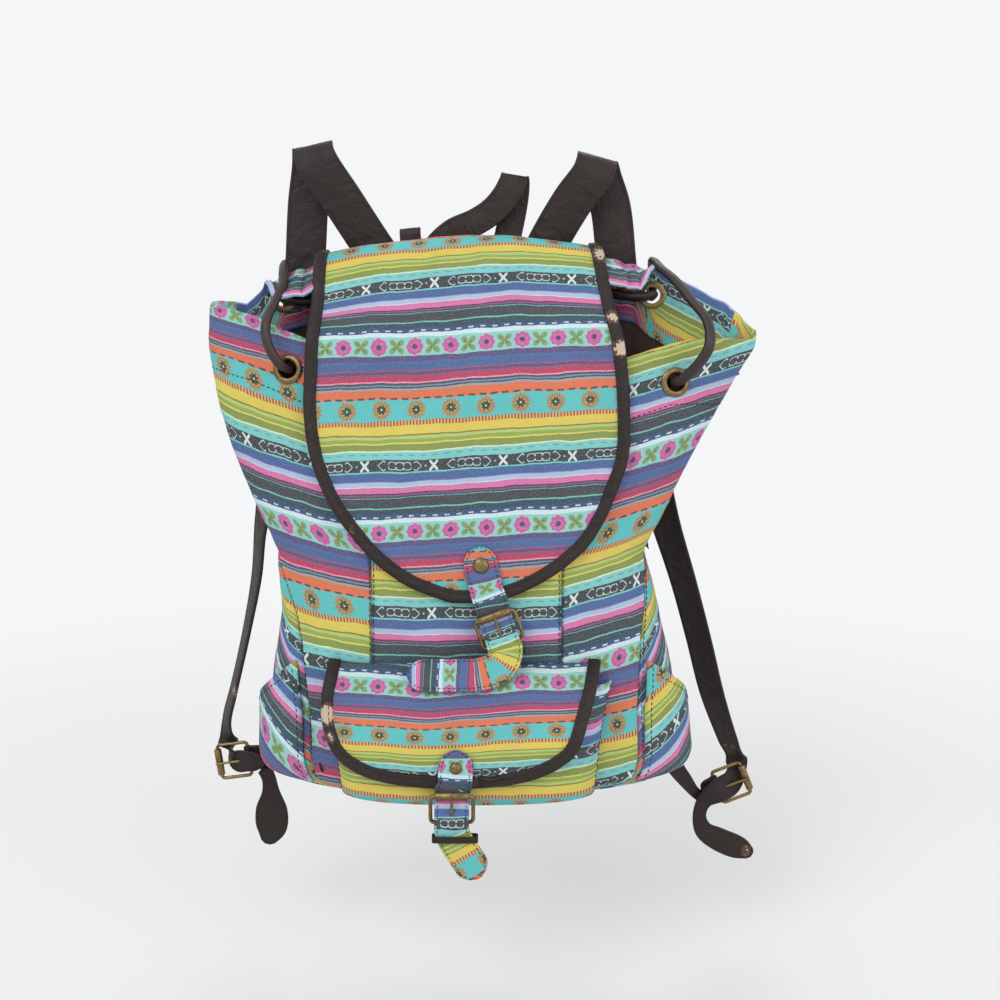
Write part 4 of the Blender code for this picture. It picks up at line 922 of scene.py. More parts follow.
def canvas_finish(colours):
    """The striped print with its small ornaments, on a visible diagonal weave."""
    s = Shader("striped canvas", 0.86)
    where, u, v = s.cloth_map()
    wave = s.texture("ShaderNodeTexNoise", 0.035, where, 2.0)
    fray = s.texture("ShaderNodeTexNoise", 0.9, where, 1.0)
    v = v + (wave - 0.5) * 4.2 + (fray - 0.5) * 0.9
    repeat = size("stripe_repeat")
    unit_width = repeat / STRIPE_UNITS
    starbursts, flowers, chains = (size(name) for name in ("starburst_spacing", "flower_spacing", "chain_spacing"))
    q = v % repeat
    share = q / repeat
    edges = np.concatenate([[0], np.cumsum([w for _, w in STRIPES])]) / STRIPE_UNITS
    stops = [(float(edges[i]), colours[name]) for i, (name, _) in enumerate(STRIPES)]
    half = len(stops) // 2 + 1
    upper, lower = s.steps(share, stops[:half]), s.steps(share, stops[:1] + stops[half:])
    print_colour = s.mix(share > stops[half][0], upper, lower)

    def band(first, last):
        return (q > first * unit_width) * (q < last * unit_width)

    def cell(spacing, centre, shift=0.0):
        du = (u + shift) % spacing - spacing / 2
        dv = q - centre * unit_width
        radius = s.math("SQRT", du * du + dv * dv)
        return du, dv, radius, s.math("ARCTAN2", dv, du)

    def paint(mask, colour):
        nonlocal print_colour
        print_colour = s.mix(mask, print_colour, colour)

    rough = s.texture("ShaderNodeTexNoise", 0.55, where, 3.0)
    ragged = (rough - 0.5) * 3.2
    du, dv, radius, angle = cell(starbursts, 10.5)
    spikes = radius - abs(s.math("SINE", angle * 7.0)) * 1.5 + ragged
    inside = band(0, 21)
    paint((spikes < 6.2) * inside * 0.85, linear((176, 138, 82)))
    paint((spikes < 4.7) * inside * 0.8, linear((150, 122, 74)))
    paint((spikes < 3.6) * (rough > 0.47) * inside, linear((206, 168, 92)))
    paint((radius - abs(s.math("SINE", angle * 4.0)) * 1.4 + ragged * 0.5 < 2.5) * inside, linear((44, 62, 52)))
    paint((radius < 0.75) * inside, linear((206, 218, 200)))

    paint(band(21, 26) * ((u % 2.5) < 1.3), linear((182, 70, 54)))
    paint(band(142, 146) * ((u % 2.5) < 1.15), linear((112, 72, 116)))
    paint(band(54.3, 55.7) * ((u % 9.2) < 4.6) * 0.7, linear((112, 128, 172)))
    paint(band(115.8, 117.2) * ((u % 9.1) < 3.8), linear((204, 224, 230)))
    paint(band(183.0, 185) * ((u % 8.5) < 5.0) * 0.9, linear((58, 50, 56)))
    paint(band(147.6, 149.0) * ((u % 1.8) < 0.9) * 0.6, linear((120, 100, 160)))

    line = linear((198, 208, 210))
    inside = band(60, 72)
    du, dv, radius, angle = cell(chains, 66)
    bars = abs(abs(du) - abs(dv) * 0.8)
    paint((bars < 1.15) * (abs(du) < 3.4) * (abs(dv) < 4.2) * inside, linear((222, 228, 228)))
    paint((abs(du) < 0.5) * (abs(dv) < 3.6) * (abs(dv) > 2.0) * inside, linear((52, 58, 62)))
    for shift, first, last in ((-14.5, -9, 1.6), (-39.5, -1.6, 9)):
        du, dv, radius, angle = cell(chains, 66, shift)
        point = s.math("POWER", abs(du) * 0.62, 1.35)
        paint((abs(point + abs(dv) - 3.5) < 0.45) * (du > first) * (du < last) * inside, line)
    for shift in (-21.2, -27.0, -32.8):
        du, dv, radius, angle = cell(chains, 66, shift)
        square = s.math("POWER", s.math("POWER", abs(du), 4.0) + s.math("POWER", abs(dv), 4.0), 0.25)
        paint((abs(square - 2.75) < 0.32) * (abs(dv) > 0.7) * inside, line)
    du, dv, radius, angle = cell(chains, 66, 6.2)
    paint((radius < 0.7) * inside, line)

    inside = band(123, 142)
    du, dv, radius, angle = cell(flowers, 132.5)
    scallop = radius - abs(s.math("COSINE", angle * 4.0)) * 0.9 + ragged * 0.4
    paint((scallop < 6.4) * inside * 0.8, linear((196, 186, 214)))
    paint((scallop < 5.6) * inside, linear((198, 92, 156)))
    paint((scallop < 4.2) * (rough > 0.52) * inside * 0.7, linear((216, 126, 178)))
    paint((radius < 2.0) * inside, linear((96, 60, 112)))
    paint((radius < 0.7) * inside, linear((60, 44, 76)))
    du, dv, radius, angle = cell(flowers, 132.5, flowers / 2)
    cross = radius - abs(s.math("SINE", angle * 2.0)) * 6.2 + ragged * 0.4
    paint((cross < 0.9) * inside * 0.9, linear((132, 152, 74)))
    paint((cross < -1.6) * (rough > 0.5) * inside, linear((104, 128, 62)))

    twill = s.math("SINE", (u + v * 0.9) * (2 * math.pi / 1.15))
    yarn = s.texture("ShaderNodeTexNoise", 1.6, where, 2.0)
    wash = s.texture("ShaderNodeTexNoise", 0.02, where, 3.0)
    shade = 0.90 + twill * 0.06 + (yarn - 0.5) * 0.55 + (wash - 0.5) * 0.22
    undyed = s.texture("ShaderNodeTexNoise", 0.75, where, 4.0)
    print_colour = s.mix(0.05 + (undyed > 0.56) * 0.10, print_colour, linear((196, 200, 196)))
    grey = s.node("ShaderNodeCombineColor", None, {0: shade, 1: shade, 2: shade})
    print_colour = s.mix(1.0, print_colour, grey, "MULTIPLY")
    return s.finish(print_colour, twill * 0.5 + yarn, 0.35, 0.0005)


def leather_finish(colours):
    """Dark brown leather-look sheet: fine grain, creases, and a peeled backing where it is worn."""
    s = Shader("brown leather-look", 0.5)
    s.surface.inputs["Specular IOR Level"].default_value = 0.32
    grain = s.texture("ShaderNodeTexVoronoi", 900.0)
    crease = s.texture("ShaderNodeTexNoise", 75.0, None, 7.0, Distortion=1.2)
    cloud = s.texture("ShaderNodeTexNoise", 14.0, None, 4.0)
    worn = s.node("ShaderNodeAttribute", {"attribute_name": "wear"}, None, "Fac")
    chips = s.texture("ShaderNodeTexNoise", 420.0, None, 6.0)
    worn = worn * (0.35 + chips * 1.3) + (crease - 0.5) * 0.5
    dark = s.mix(cloud, colours["leather_dark"], colours["leather_light"])
    rubbed = s.mix(worn > 0.42, dark, colours["leather_rubbed"])
    peeled = s.mix(worn > 0.62, rubbed, colours["leather_backing"])
    rough = 0.42 + crease * 0.22
    return s.finish(peeled, grain * 0.25 + crease * 3.0, 0.6, 0.0012, rough)


def plain_finish(name, dark, light, roughness, scale, weave):
    """A plain woven or spun finish with a little colour variation."""
    s = Shader(name, roughness)
    cloud = s.texture("ShaderNodeTexNoise", scale, None, 5.0)
    fine = s.texture("ShaderNodeTexNoise", weave, None, 2.0)
    return s.finish(s.mix(cloud, dark, light), fine + cloud, 0.4, 0.0004)


def brass_finish(colours):
    """Dark antique brass: rubbed high spots, brown patina in patches."""
    s = Shader("antique brass", 0.36, 0.9)
    patch = s.texture("ShaderNodeTexNoise", 220.0, None, 5.0)
    spot = s.texture("ShaderNodeTexNoise", 900.0, None, 3.0)
    tone = s.mix(patch, colours["brass_dark"], colours["brass_bright"])
    tone = s.mix((spot > 0.6) * 0.6, tone, colours["brass_patina"])
    return s.finish(tone, spot, 0.18, 0.0002, 0.26 + patch * 0.24)


# Name, roughness, scale of the colour variation and scale of the weave of the plain finishes
PLAIN = {
    "lining": ("brown lining", 0.85, 30.0, 700.0),
    "cord": ("dark cord", 0.5, 130.0, 380.0),
    "thread": ("black thread", 0.7, 300.0, 900.0),
}
PRINT_SIZES = ("stripe_repeat", "starburst_spacing", "flower_spacing", "chain_spacing")
FINISHES = {}


def colours_now():
    """The colours set in the panel, by name."""
    scene = bpy.context.scene
    colours = {name: tuple(getattr(scene.backpack_dyes, name)) for name in DYES}
    colours.update({name: tuple(getattr(scene.backpack_colours, name)) for name in COLOURS})
    return colours


def finish_of(key):
    """A finish in the colours and print sizes now set, made once for each choice of them."""
    colours = colours_now()
    chosen = (key, *colours.values(), *(size(name) for name in PRINT_SIZES))
    if chosen not in FINISHES:
        if key in PLAIN:
            name, roughness, scale, weave = PLAIN[key]
            made = plain_finish(name, colours[key + "_dark"], colours[key + "_light"], roughness, scale, weave)
        else:
            made = {"canvas": canvas_finish, "leather": leather_finish, "brass": brass_finish}[key](colours)
        FINISHES[chosen] = made
    return FINISHES[chosen]


# Pieces


def canvas(node, grid, uv, wall, **more):
    """A canvas piece that stands for the solid of the same name."""
    return settle(cloth("canvas_" + node, grid, uv, finish_of("canvas"), wall, **more), "striped_canvas", node)


def sew(name, runs, length=3.2, gap=1.3, radius=0.38):
    """Stitches along each run, on the bag's own body."""
    return settle(stitches("thread_" + name, runs, finish_of("thread"), length, gap, radius), "brown_leather")


def line_on(grid, normals, rows, columns, lift=0.25):
    """Points and normals at fractional rows and columns of a grid."""
    def at(table, r, c):
        r0, c0 = int(min(r, len(table) - 1.001)), int(min(c, table.shape[1] - 1.001))
        fr, fc = r - r0, c - c0
        return ((1 - fr) * ((1 - fc) * table[r0, c0] + fc * table[r0, c0 + 1])
                + fr * ((1 - fc) * table[r0 + 1, c0] + fc * table[r0 + 1, c0 + 1]))
    points = np.array([at(grid, r, c) for r, c in zip(rows, columns)])
    outs = np.array([unit(at(normals, r, c)) for r, c in zip(rows, columns)])
    return points + outs * lift, outs


def body_wall():
    """The body's wall in the sizes now set."""
    return shaped_wall(size("roll_radius"), size("fold_depth"), size("gather_depth"))


@lru_cache(maxsize=1)
def shaped_wall(roll_radius, fold_depth, gather_depth):
    """The whole dressed wall: rows that run round the body, each wall's span of columns, and facts of each column."""
    mouth = outline_at(-150.0)
    split = (mouth[1].max() + mouth[1].min()) / 2
    columns, spans, facts = [], {}, []
    for name, first, last in WALLS:
        width = wall_point(first, last, 0.0, -150, BOTTOM_R, 0.0)[2]
        count = int(round(width / GRID_STEP))
        spans[name] = (len(columns), len(columns) + count)
        for i in range(count):
            share = i / count
            x, y, _ = wall_point(first, last, share, -150, BOTTOM_R, 0.0)
            top = rim_z(x, y, split)
            foot = bottom_z(wall_point(first, last, share, -480, BOTTOM_R, 0.0)[0])
            roll = 0.0
            if y > split:
                roll = float(smooth_step(x, *ROLL_SPAN[:2]) * (1 - smooth_step(x, *ROLL_SPAN[2:])))
            under_flap = float(smooth_step(x, -124, -106) * (1 - smooth_step(x, 92, 108)))
            extra = (ROLL_EXTRA * (1 - under_flap) + 12.0 * under_flap) * roll ** 2
            turn = ROLL_TURN * roll
            straight = top - foot - roll_radius * math.sin(min(turn, math.pi / 2))
            length = straight + roll_radius * turn + extra
            levels = np.concatenate([FOOT_RISES, np.linspace(FOOT_RISES[-1], length - 56 - extra, MIDDLE_ROWS)[1:],
                                     np.linspace(length - 56 - extra, length, TOP_ROWS)[1:]])
            column = []
            for s in levels:
                z = foot + min(s, straight)
                px, py, _ = wall_point(first, last, share, z, min(z - foot, BOTTOM_R), 0.0)
                over = s - straight
                if over > 0:
                    arc = min(over, roll_radius * turn)
                    angle = arc / roll_radius
                    on = over - arc
                    py -= roll_radius * (1 - math.cos(angle)) + on * math.sin(angle)
                    z += roll_radius * math.sin(angle) + on * math.cos(angle)
                column.append((px, py, z))
            columns.append(column)
            facts.append((share, width, top, foot, length, levels, roll))
    grid = np.transpose(np.array(columns), (1, 0, 2))
    dressed = relaxed(grid, grid_normals(grid, closed=True), facts, fold_depth, gather_depth)
    return dressed, spans, facts


def relaxed(grid, normals, facts, fold_depth, gather_depth):
    """The wall with its cloth character: pulled-in seams, slack folds, and gathers under the mouth."""
    share, width, top, foot = (np.array([fact[i] for fact in facts])[None] for i in range(4))
    x, y, z = grid[..., 0], grid[..., 1], grid[..., 2]
    edge = np.minimum(share, 1 - share) * width
    front = y < np.interp(z, SECTIONS[::-1, 0], (SECTIONS[::-1, 3] + SECTIONS[::-1, 4]) / 2)
    under = top - z
    seam = -1.3 * np.exp(-(edge / 2.6) ** 2) + 0.8 * np.exp(-((edge - 7) / 4) ** 2)
    folds = fold_depth * drift(grid * (1, 1, 0.62), 74, 3.1) + 2.0 * drift(grid * (1, 1, 0.8), 29, 8.2)
    fine = 0.5 * drift(grid, 10, 5.5)
    around = grid * (1, 1, 0.22)
    gathers = gather_depth * np.exp(-np.maximum(under, 0) / 52) * (drift(around, 24, 1.4) + 0.35)
    crumple = folds + gathers + fine
    calm = front & (np.abs(x) < 119) & (z > -345)
    calm |= front & (np.abs(x) < 113) & (z < -398)
    calm |= (~front) & (np.abs(x) < 150)
    limit = np.where(calm, 1.0, 5.5)
    limit = np.where((~front | (np.abs(x) > 113)) & (z < -438), np.minimum(limit, 1.2), limit)
    fade = smooth_step(z - foot, 0, 22)
    for name in EYELETS:
        centre, _ = eyelet_place(name)
        away = np.linalg.norm(grid - centre, axis=2)
        fade = fade * (0.08 + 0.92 * smooth_step(away, 12, 30))
    shift = np.clip(crumple, -1.7, limit) * fade + np.clip(seam, -1.3, 0.8) * smooth_step(z - foot, 4, 20)
    return grid + normals * shift[..., None]


def print_height(name, z, below, away):
    """Millimetres along the print at a place of a wall; away is the distance from the wall's edge next to the front."""
    if name in PRINT:
        start, height, rate, tilt_top, tilt_foot, at = PRINT[name]
        tilt = np.interp(-z, (-height, 360.0), (tilt_top, tilt_foot))
        lift = 0.3 * max(0.0, z + 160) if name == "front_left_panel" else 0.0
        return start + rate * (height - z) + tilt * (away - at) - lift
    if name == "back_panel":
        return HEM_PRINT + below + (-48 - z - below) * smooth_step(below, 15, 120)
    return HEM_PRINT + below + 0.8 * smooth_step(-z, 250, 400) * away


def wall_map(name, grid, facts, span):
    """The cloth map of one wall, its last column included."""
    first, last = span
    rows, count = grid.shape[0], last - first
    seams = next(wall[1:] for wall in WALLS if wall[0] == name)
    uv = np.zeros((rows, count + 1, 2))
    for i in range(count + 1):
        _, _, top, foot, length, levels, _ = facts[(first + i) % grid.shape[1]]
        share = i / count
        heights = foot + np.minimum(levels, top - foot)
        widths = np.array([wall_point(*seams, 0.0, z, BOTTOM_R, 0.0)[2] for z in heights])
        away = widths * share
        if name in ("front_left_panel", "left_gusset"):
            away = widths - away
        elif name == "back_panel":
            away = away * 0
        uv[:, i, 0] = widths * (share - 0.5)
        uv[:, i, 1] = [print_height(name, foot + s, length - s, d) for s, d in zip(levels, away)]
    return uv


def eyelet_holes(names):
    return [(*eyelet_place(name), EYELET_R - 3.2) for name in names]


def wall_piece(name, first_column, last_column):
    grid, _, facts = body_wall()
    picked = np.take(grid, range(first_column, last_column + 1), axis=1, mode="wrap")
    uv = wall_map(name, grid, facts, (first_column, last_column))
    canvas(name, picked, uv, 1.2, holes=eyelet_holes(EYELETS))


def seam_threads(name, column, offsets, bottom=10, top=None):
    """Stitch lines beside a seam, at these distances from it."""
    grid, _, _ = body_wall()
    normals = grid_normals(grid, closed=True)
    top = grid.shape[0] - 4 if top is None else top
    runs = []
    for offset in offsets:
        shift = column + offset / GRID_STEP
        near = np.take(grid, range(column - 3, column + 5), axis=1, mode="wrap")
        outs = np.take(normals, range(column - 3, column + 5), axis=1, mode="wrap")
        rows = np.arange(bottom, top)
        runs.append(line_on(near, outs, rows, np.full(len(rows), shift - column + 3.0), 0.3))
    sew(name, runs)


def make_walls():
    """The six walls with their seam stitches, and the base."""
    grid, spans, _ = body_wall()
    for name, _, _ in WALLS:
        wall_piece(name, *spans[name])
    for name, wall in (("front_left_seam", "front_panel"), ("front_right_seam", "front_right_panel")):
        seam_threads(name, spans[wall][0], (-2.3, 2.3))
    for name, wall in (("left_gusset_seam", "front_left_panel"), ("right_gusset_seam", "right_gusset")):
        seam_threads(name, spans[wall][0], (2.3,))

    normals = grid_normals(grid, closed=True)
    for name in ("front_left_panel", "front_right_panel"):
        first, last = spans[name]
        across = np.arange(first + 2, last - 1)
        line = line_on(grid, normals, np.full(len(across), grid.shape[0] - 31.0), across, 0.3)
        sew("facing_" + name, [line])

    section = outline_at(BOTTOM_Z, BOTTOM_R)
    ring = [(np.interp(a, section[2], section[0]), np.interp(a, section[2], section[1]))
            for a in np.linspace(0, section[2][-1], 120, endpoint=False)]
    ring = np.array([(x, y, bottom_z(x)) for x, y in ring])
    middle = ring.mean(axis=0)
    rows = []
    for share in np.linspace(1.004, 0.02, 14):
        row = middle + (ring - middle) * (share, share, 1)
        row[:, 2] = [bottom_z(x) for x in row[:, 0]]
        rows.append(row)
    base = np.array(rows)[::-1][:, ::-1]
    base[..., 2] += 0.6 * drift(base, 45, 2.0)
    uv = np.stack([base[..., 0], base[..., 1] + 320], axis=2)
    obj = cloth("canvas_base", base, uv, finish_of("canvas"), 1.0, closed=True)
    settle(obj, "striped_canvas", "base_panel")


def make_mouth():
    """The striped facing folded over the mouth's edge, the brown lining below it, and the eyelets."""
    grid, spans, facts = body_wall()
    normals = grid_normals(grid, closed=True)
    top = len(FOOT_RISES) + MIDDLE_ROWS + TOP_ROWS - 3
    hem = size("hem")
    rim, out = grid[top], normals[top]
    up = grid[top] - grid[top - 1]
    up /= np.linalg.norm(up, axis=1, keepdims=True)
    rows, along = [], []
    puff = 1.0 + 0.35 * drift(rim * (1, 1, 0.5), 13, 6.0)[:, None]
    for angle in np.radians(np.linspace(0, 180, 9)):
        half = hem / 2
        rows.append(rim + out * (half * (math.cos(angle) - 1)) + up * half * math.sin(angle) * puff)
        along.append(-half * angle)
    cap = len(rows)
    lengths = np.array([f[5] for f in facts]).T
    depth = lengths[-1] - lengths
    for row in range(top - 1, 0, -1):
        if depth[row].mean() > 62:
            break
        rows.append(grid[row] - normals[row] * (hem + 0.3 * drift(grid[row], 18, 4.0))[:, None])
        along.append(None)
    rows = np.array(rows)
    uv = np.zeros((*rows.shape[:2], 2))
    around = lengths_along(rim)
    breaks = []
    for name, _, _ in WALLS:
        first, last = spans[name]
        breaks.append((last - 1) % grid.shape[1])
        outside = wall_map(name, grid, facts, spans[name])
        for i in range(first, last):
            base = outside[-1, i - first, 1]
            for r in range(len(rows)):
                if r < cap:
                    uv[r, i, 1] = base + along[r]
                else:
                    uv[r, i, 1] = base - hem * 1.6 - depth[top - 1 - (r - cap), i]
            uv[:, i, 0] = around[i]
    canvas("mouth_facing", rows, uv, 1.0, closed=True, breaks=breaks, holes=eyelet_holes(EYELETS))

    inner = grid - normals * LINING_DEPTH
    stop = int(np.argmin(np.abs(depth.mean(axis=1) - 44)))
    shell = inner[2:stop:2]
    middle = shell[0].mean(axis=0)
    floor = []
    for share in (0.04, 0.3, 0.6, 0.85):
        row = middle + (shell[0] - middle) * (share, share, 1)
        row[:, 2] = [bottom_z(x) + 2.6 for x in row[:, 0]]
        floor.append(row)
    shell = np.concatenate([np.array(floor), shell])
    plain = np.stack([np.broadcast_to(around, shell.shape[:2]), shell[..., 2]], axis=2)
    settle(cloth("brown_lining_bag", shell, plain, finish_of("lining"), 0.7, closed=True), "brown_lining", "lining")

    for name in EYELETS:
        centre, normal = eyelet_place(name)
        front, back = 1.9, -6.5
        hole, wide, barrel = EYELET_HOLE_R, EYELET_R, EYELET_BARREL_R
        profile = [(hole, back), (hole, front - 0.9), (hole + 0.25, front - 0.2), (hole + 0.9, front + 0.35),
                   (hole + 2.2, front + 0.5), (wide - 1.3, front + 0.15), (wide - 0.3, front - 0.45),
                   (wide, front - 1.0), (wide - 0.4, front - 1.25), (barrel, front - 1.2), (barrel, back + 1.2),
                   (wide - 0.8, back + 0.9), (wide - 0.8, back + 0.4), (wide - 1.6, back)]
        settle(turned("brass_" + name, profile, centre, normal, finish_of("brass")), "antique_brass", name)


def flap_cloth(rows, columns, lift):
    """The main flap's outer face as a fine grid from its sewn edge to its tip, with slack folds that only rise."""
    levels = [(r, FLAP_CREST[2, 1] + FLAP_PROFILE[r][0]) for r in range(len(FLAP_PROFILE))]
    levels += [(len(FLAP_PROFILE) + i, z) for i, z in enumerate(FLAP_LOW)]
    edge = BINDING_W / 2 - BINDING_WALL - BINDING_SLOT
    coarse = np.array(outline_grid(flap_point, levels, FLAP_OUTLINE, 21, edge))
    centre = coarse[:, 10]
    down = lengths_along(centre)
    down -= np.interp(184, -centre[len(FLAP_PROFILE):, 2], down[len(FLAP_PROFILE):])
    along = np.broadcast_to(down[:, None, None], (*coarse.shape[:2], 1))
    fine = refined(np.concatenate([coarse, along], axis=2), rows, columns)
    return *slack(fine[..., :3], lift, 11.0), fine[..., 3]


def slack(grid, lift, seed):
    """A flap's grid with folds that rise from it by up to lift, and its outward normals."""
    normals = -grid_normals(grid)
    middle = np.mean(normals.reshape(-1, 3), axis=0)
    if middle[1] > 0:
        normals = -normals
    share = np.linspace(0, 1, grid.shape[1])[None]
    down = np.linspace(0, 1, grid.shape[0])[:, None]
    calm = smooth_step(np.minimum(share, 1 - share), 0.0, 0.12) * smooth_step(down, 0.02, 0.15) \
        * smooth_step(1 - down, 0.0, 0.12)
    rise = 0.5 + 0.9 * drift(grid * (1, 1, 0.6), 55, seed) + 0.35 * drift(grid, 18, seed + 2)
    return grid + normals * (lift * np.clip(rise, 0, 1.3) * calm)[..., None], normals


def edge_path(grid):
    """The three free edges of a flap, down its first column, along its foot and up its last, and points inside them."""
    rim = np.concatenate([grid[:, 0], grid[-1, 1:-1], grid[::-1, -1]])
    inner = np.concatenate([grid[:, 2], grid[-3, 1:-1], grid[::-1, -3]])
    return rim, inner


def binding(name, grid, normals, wear, thickness=FLAP_T):
    """Rounded leather folded over the flap's edge, puckered between its stitches."""
    rim, inner = edge_path(grid)
    outs = np.concatenate([normals[:, 0], normals[-1, 1:-1], normals[::-1, -1]])
    rows = smooth_route(np.hstack([rim, inner - rim, outs])[::3], 1.5)
    path, inward, normal = rows[:, :3], rows[:, 3:6], rows[:, 6:9]
    tangent = np.gradient(path, axis=0)
    tangent /= np.linalg.norm(tangent, axis=1, keepdims=True)
    inward -= np.sum(inward * tangent, axis=1, keepdims=True) * tangent
    inward /= np.linalg.norm(inward, axis=1, keepdims=True)
    normal = np.cross(tangent, inward)
    flip = np.sign(np.sum(normal * rows[:, 6:9], axis=1, keepdims=True))
    normal = normal * flip
    lip = BINDING_SLOT + BINDING_WALL
    wave = 0.25 * drift(path, 7, 2.2)[:, None] + 0.3 * drift(path, 26, 4.2)[:, None]
    middle = path + inward * (BINDING_W / 2 - lip) - normal * (thickness / 2 - 1.0)
    half_t = thickness / 2 + 1.25
    outline = []
    for inset, high in ((-5.0, 0.55), (-4.2, 1.05), (-2.6, 0.78), (-1.2, 1.12), (1.4, 1.2), (3.4, 1.1), (4.7, 0.72),
                        (5.0, 0.0), (4.7, -0.72), (3.4, -1.0), (0.0, -1.05), (-4.2, -1.0), (-5.0, -0.55)):
        outline.append(middle - inward * inset + normal * (half_t * high) + normal * (wave * (high > 0))
                       - inward * (wave * 0.6))
    obj = loft(name, np.stack(outline, axis=1), finish_of("leather"))
    mark_wear(obj, wear)
    stitch_line = middle + inward * 2.6 + normal * (half_t * 0.86 + 0.15) + normal * wave
    return obj, (stitch_line, normal)


def mark_wear(obj, spots):
    """How worn the leather is near each spot: (place, reach, strength), all times the wear set in the panel."""
    worn = obj.data.attributes.new("wear", "FLOAT", "POINT")
    places = np.array([v.co for v in obj.data.vertices]) / MM
    value = np.zeros(len(places))
    for spot, reach, strength in spots:
        near = np.linalg.norm((places - spot) * (1, 0.6, 1), axis=1) / reach
        value = np.maximum(value, strength * np.exp(-near ** 2))
    worn.data.foreach_set("value", value * bpy.context.scene.backpack_sizes.wear)


def flap_print(grid, down):
    """Millimetres down the flap at each point, measured from the height of -184 mm, with the print's slight tilt."""
    v = down + 0.052 * (grid[..., 0] - 20) + 1.6 * drift(grid * (1, 0, 0.6), 80, 9.0)
    return np.stack([grid[..., 0], v], axis=2)


def declare_sheet(grid):
    """The length of the flap's longest column, worked out and not kept."""
    length = max(lengths_along(column)[-1] for column in grid.transpose(1, 0, 2)) * MM


def make_main_flap():
    """The striped flap and its leather binding."""
    grid, normals, down = flap_cloth(FLAP_ROWS, FLAP_COLUMNS, size("flap_slack"))
    uv = flap_print(grid, down)
    obj = canvas("main_flap", grid, uv, 1.4, offset=1.0)
    wear = [((102.9, -30, -80), 9, 1.1), ((110.3, -70, -125), 7, 0.9), ((116.1, -78, -148.8), 8, 1.1),
            ((-118, -60, -140), 6, 0.6), ((30, -104, -338), 8, 0.55), ((-90, -98, -286), 6, 0.5)]
    edge, line = binding("leather_main_flap_binding", grid, normals, wear)
    settle(edge, "brown_leather", "main_flap_binding")
    thread = sew("main_flap_binding", [line])
    declare_sheet(grid)


def make_front_pocket():
    """The bellows pocket and its bound flap."""
    spread = np.sin(np.pi / 2 * np.linspace(-1, 1, POCKET_COLUMNS))
    rows = []
    for share in 1 - np.linspace(0, 1, POCKET_ROWS):
        row = []
        z = POCKET_TOP + share * (BOTTOM_Z - POCKET_TOP)
        left, right = (np.interp(-z, -POCKET_EDGES[:, 0], POCKET_EDGES[:, i]) for i in (1, 2))
        for s in spread:
            x = (left + right) / 2 + s * (right - left) / 2
            foot = bottom_z(x) + POCKET_FOOT
            row.append(pocket_point(x, POCKET_TOP + share * (foot - POCKET_TOP)))
        rows.append(row)
    grid = np.array(rows)
    normals = grid_normals(grid)
    calm = smooth_step(np.linspace(0, 1, POCKET_ROWS), 0.0, 0.16)[:, None]
    calm = calm * (1 - smooth_step(np.abs(spread), 0.9, 1.0))[None]
    lower = 1 - smooth_step(grid[..., 2], -470, -440)
    relief = calm * (0.3 + 0.7 * lower) * np.clip(1.1 * drift(grid, 42, 7.0) + 0.6 * drift(grid, 17, 3.0), -1.2, 1.4)
    grid = grid + normals * relief[..., None]
    uv = np.stack([grid[..., 0], 18 + (grid[..., 2] + 484)], axis=2)
    canvas("front_pocket", grid, uv, 1.3)
    normals = grid_normals(grid)
    down = np.arange(2, POCKET_ROWS - 1)
    runs = [line_on(grid, normals, down, np.full(len(down), c)) for c in (3.4, POCKET_COLUMNS - 4.4)]
    sew("front_pocket", runs)

    levels = (-389.0, -395.0, -401.0, -408.0, -417.0, -428.0, -440.0, -450.0, -458.0, -465.0, -470.0, -473.0)
    edge = BINDING_W / 2 - BINDING_WALL - BINDING_SLOT
    coarse = []
    for z in levels:
        left, right = (np.interp(-z, -POCKET_FLAP[:, 0], POCKET_FLAP[:, i]) for i in (1, 2))
        coarse.append([pocket_flap_point(x, z) for x in np.linspace(left - edge, right + edge, 21)])
    grid, normals = slack(refined(coarse, 54, FLAP_COLUMNS), 1.5, 17.0)
    dip = 4 * np.exp(-((grid[..., 0] + 30) / 24) ** 2) - 4 * smooth_step(grid[..., 0], 0, 50)
    uv = np.stack([grid[..., 0], 101.7 + 1.50 * (-401 - grid[..., 2]) - dip], axis=2)
    obj = canvas("front_pocket_flap", grid, uv, 1.4, offset=1.0)
    wear = [((-107.2, -135, -421.6), 9, 1.1), ((-104, -138, -437), 6, 0.7), ((70, -140, -454), 6, 0.5)]
    rim, line = binding("leather_front_pocket_flap_binding", grid, normals, wear)
    settle(rim, "brown_leather", "front_pocket_flap_binding")
    thread = sew("pocket_flap_binding", [line])
    declare_sheet(grid)


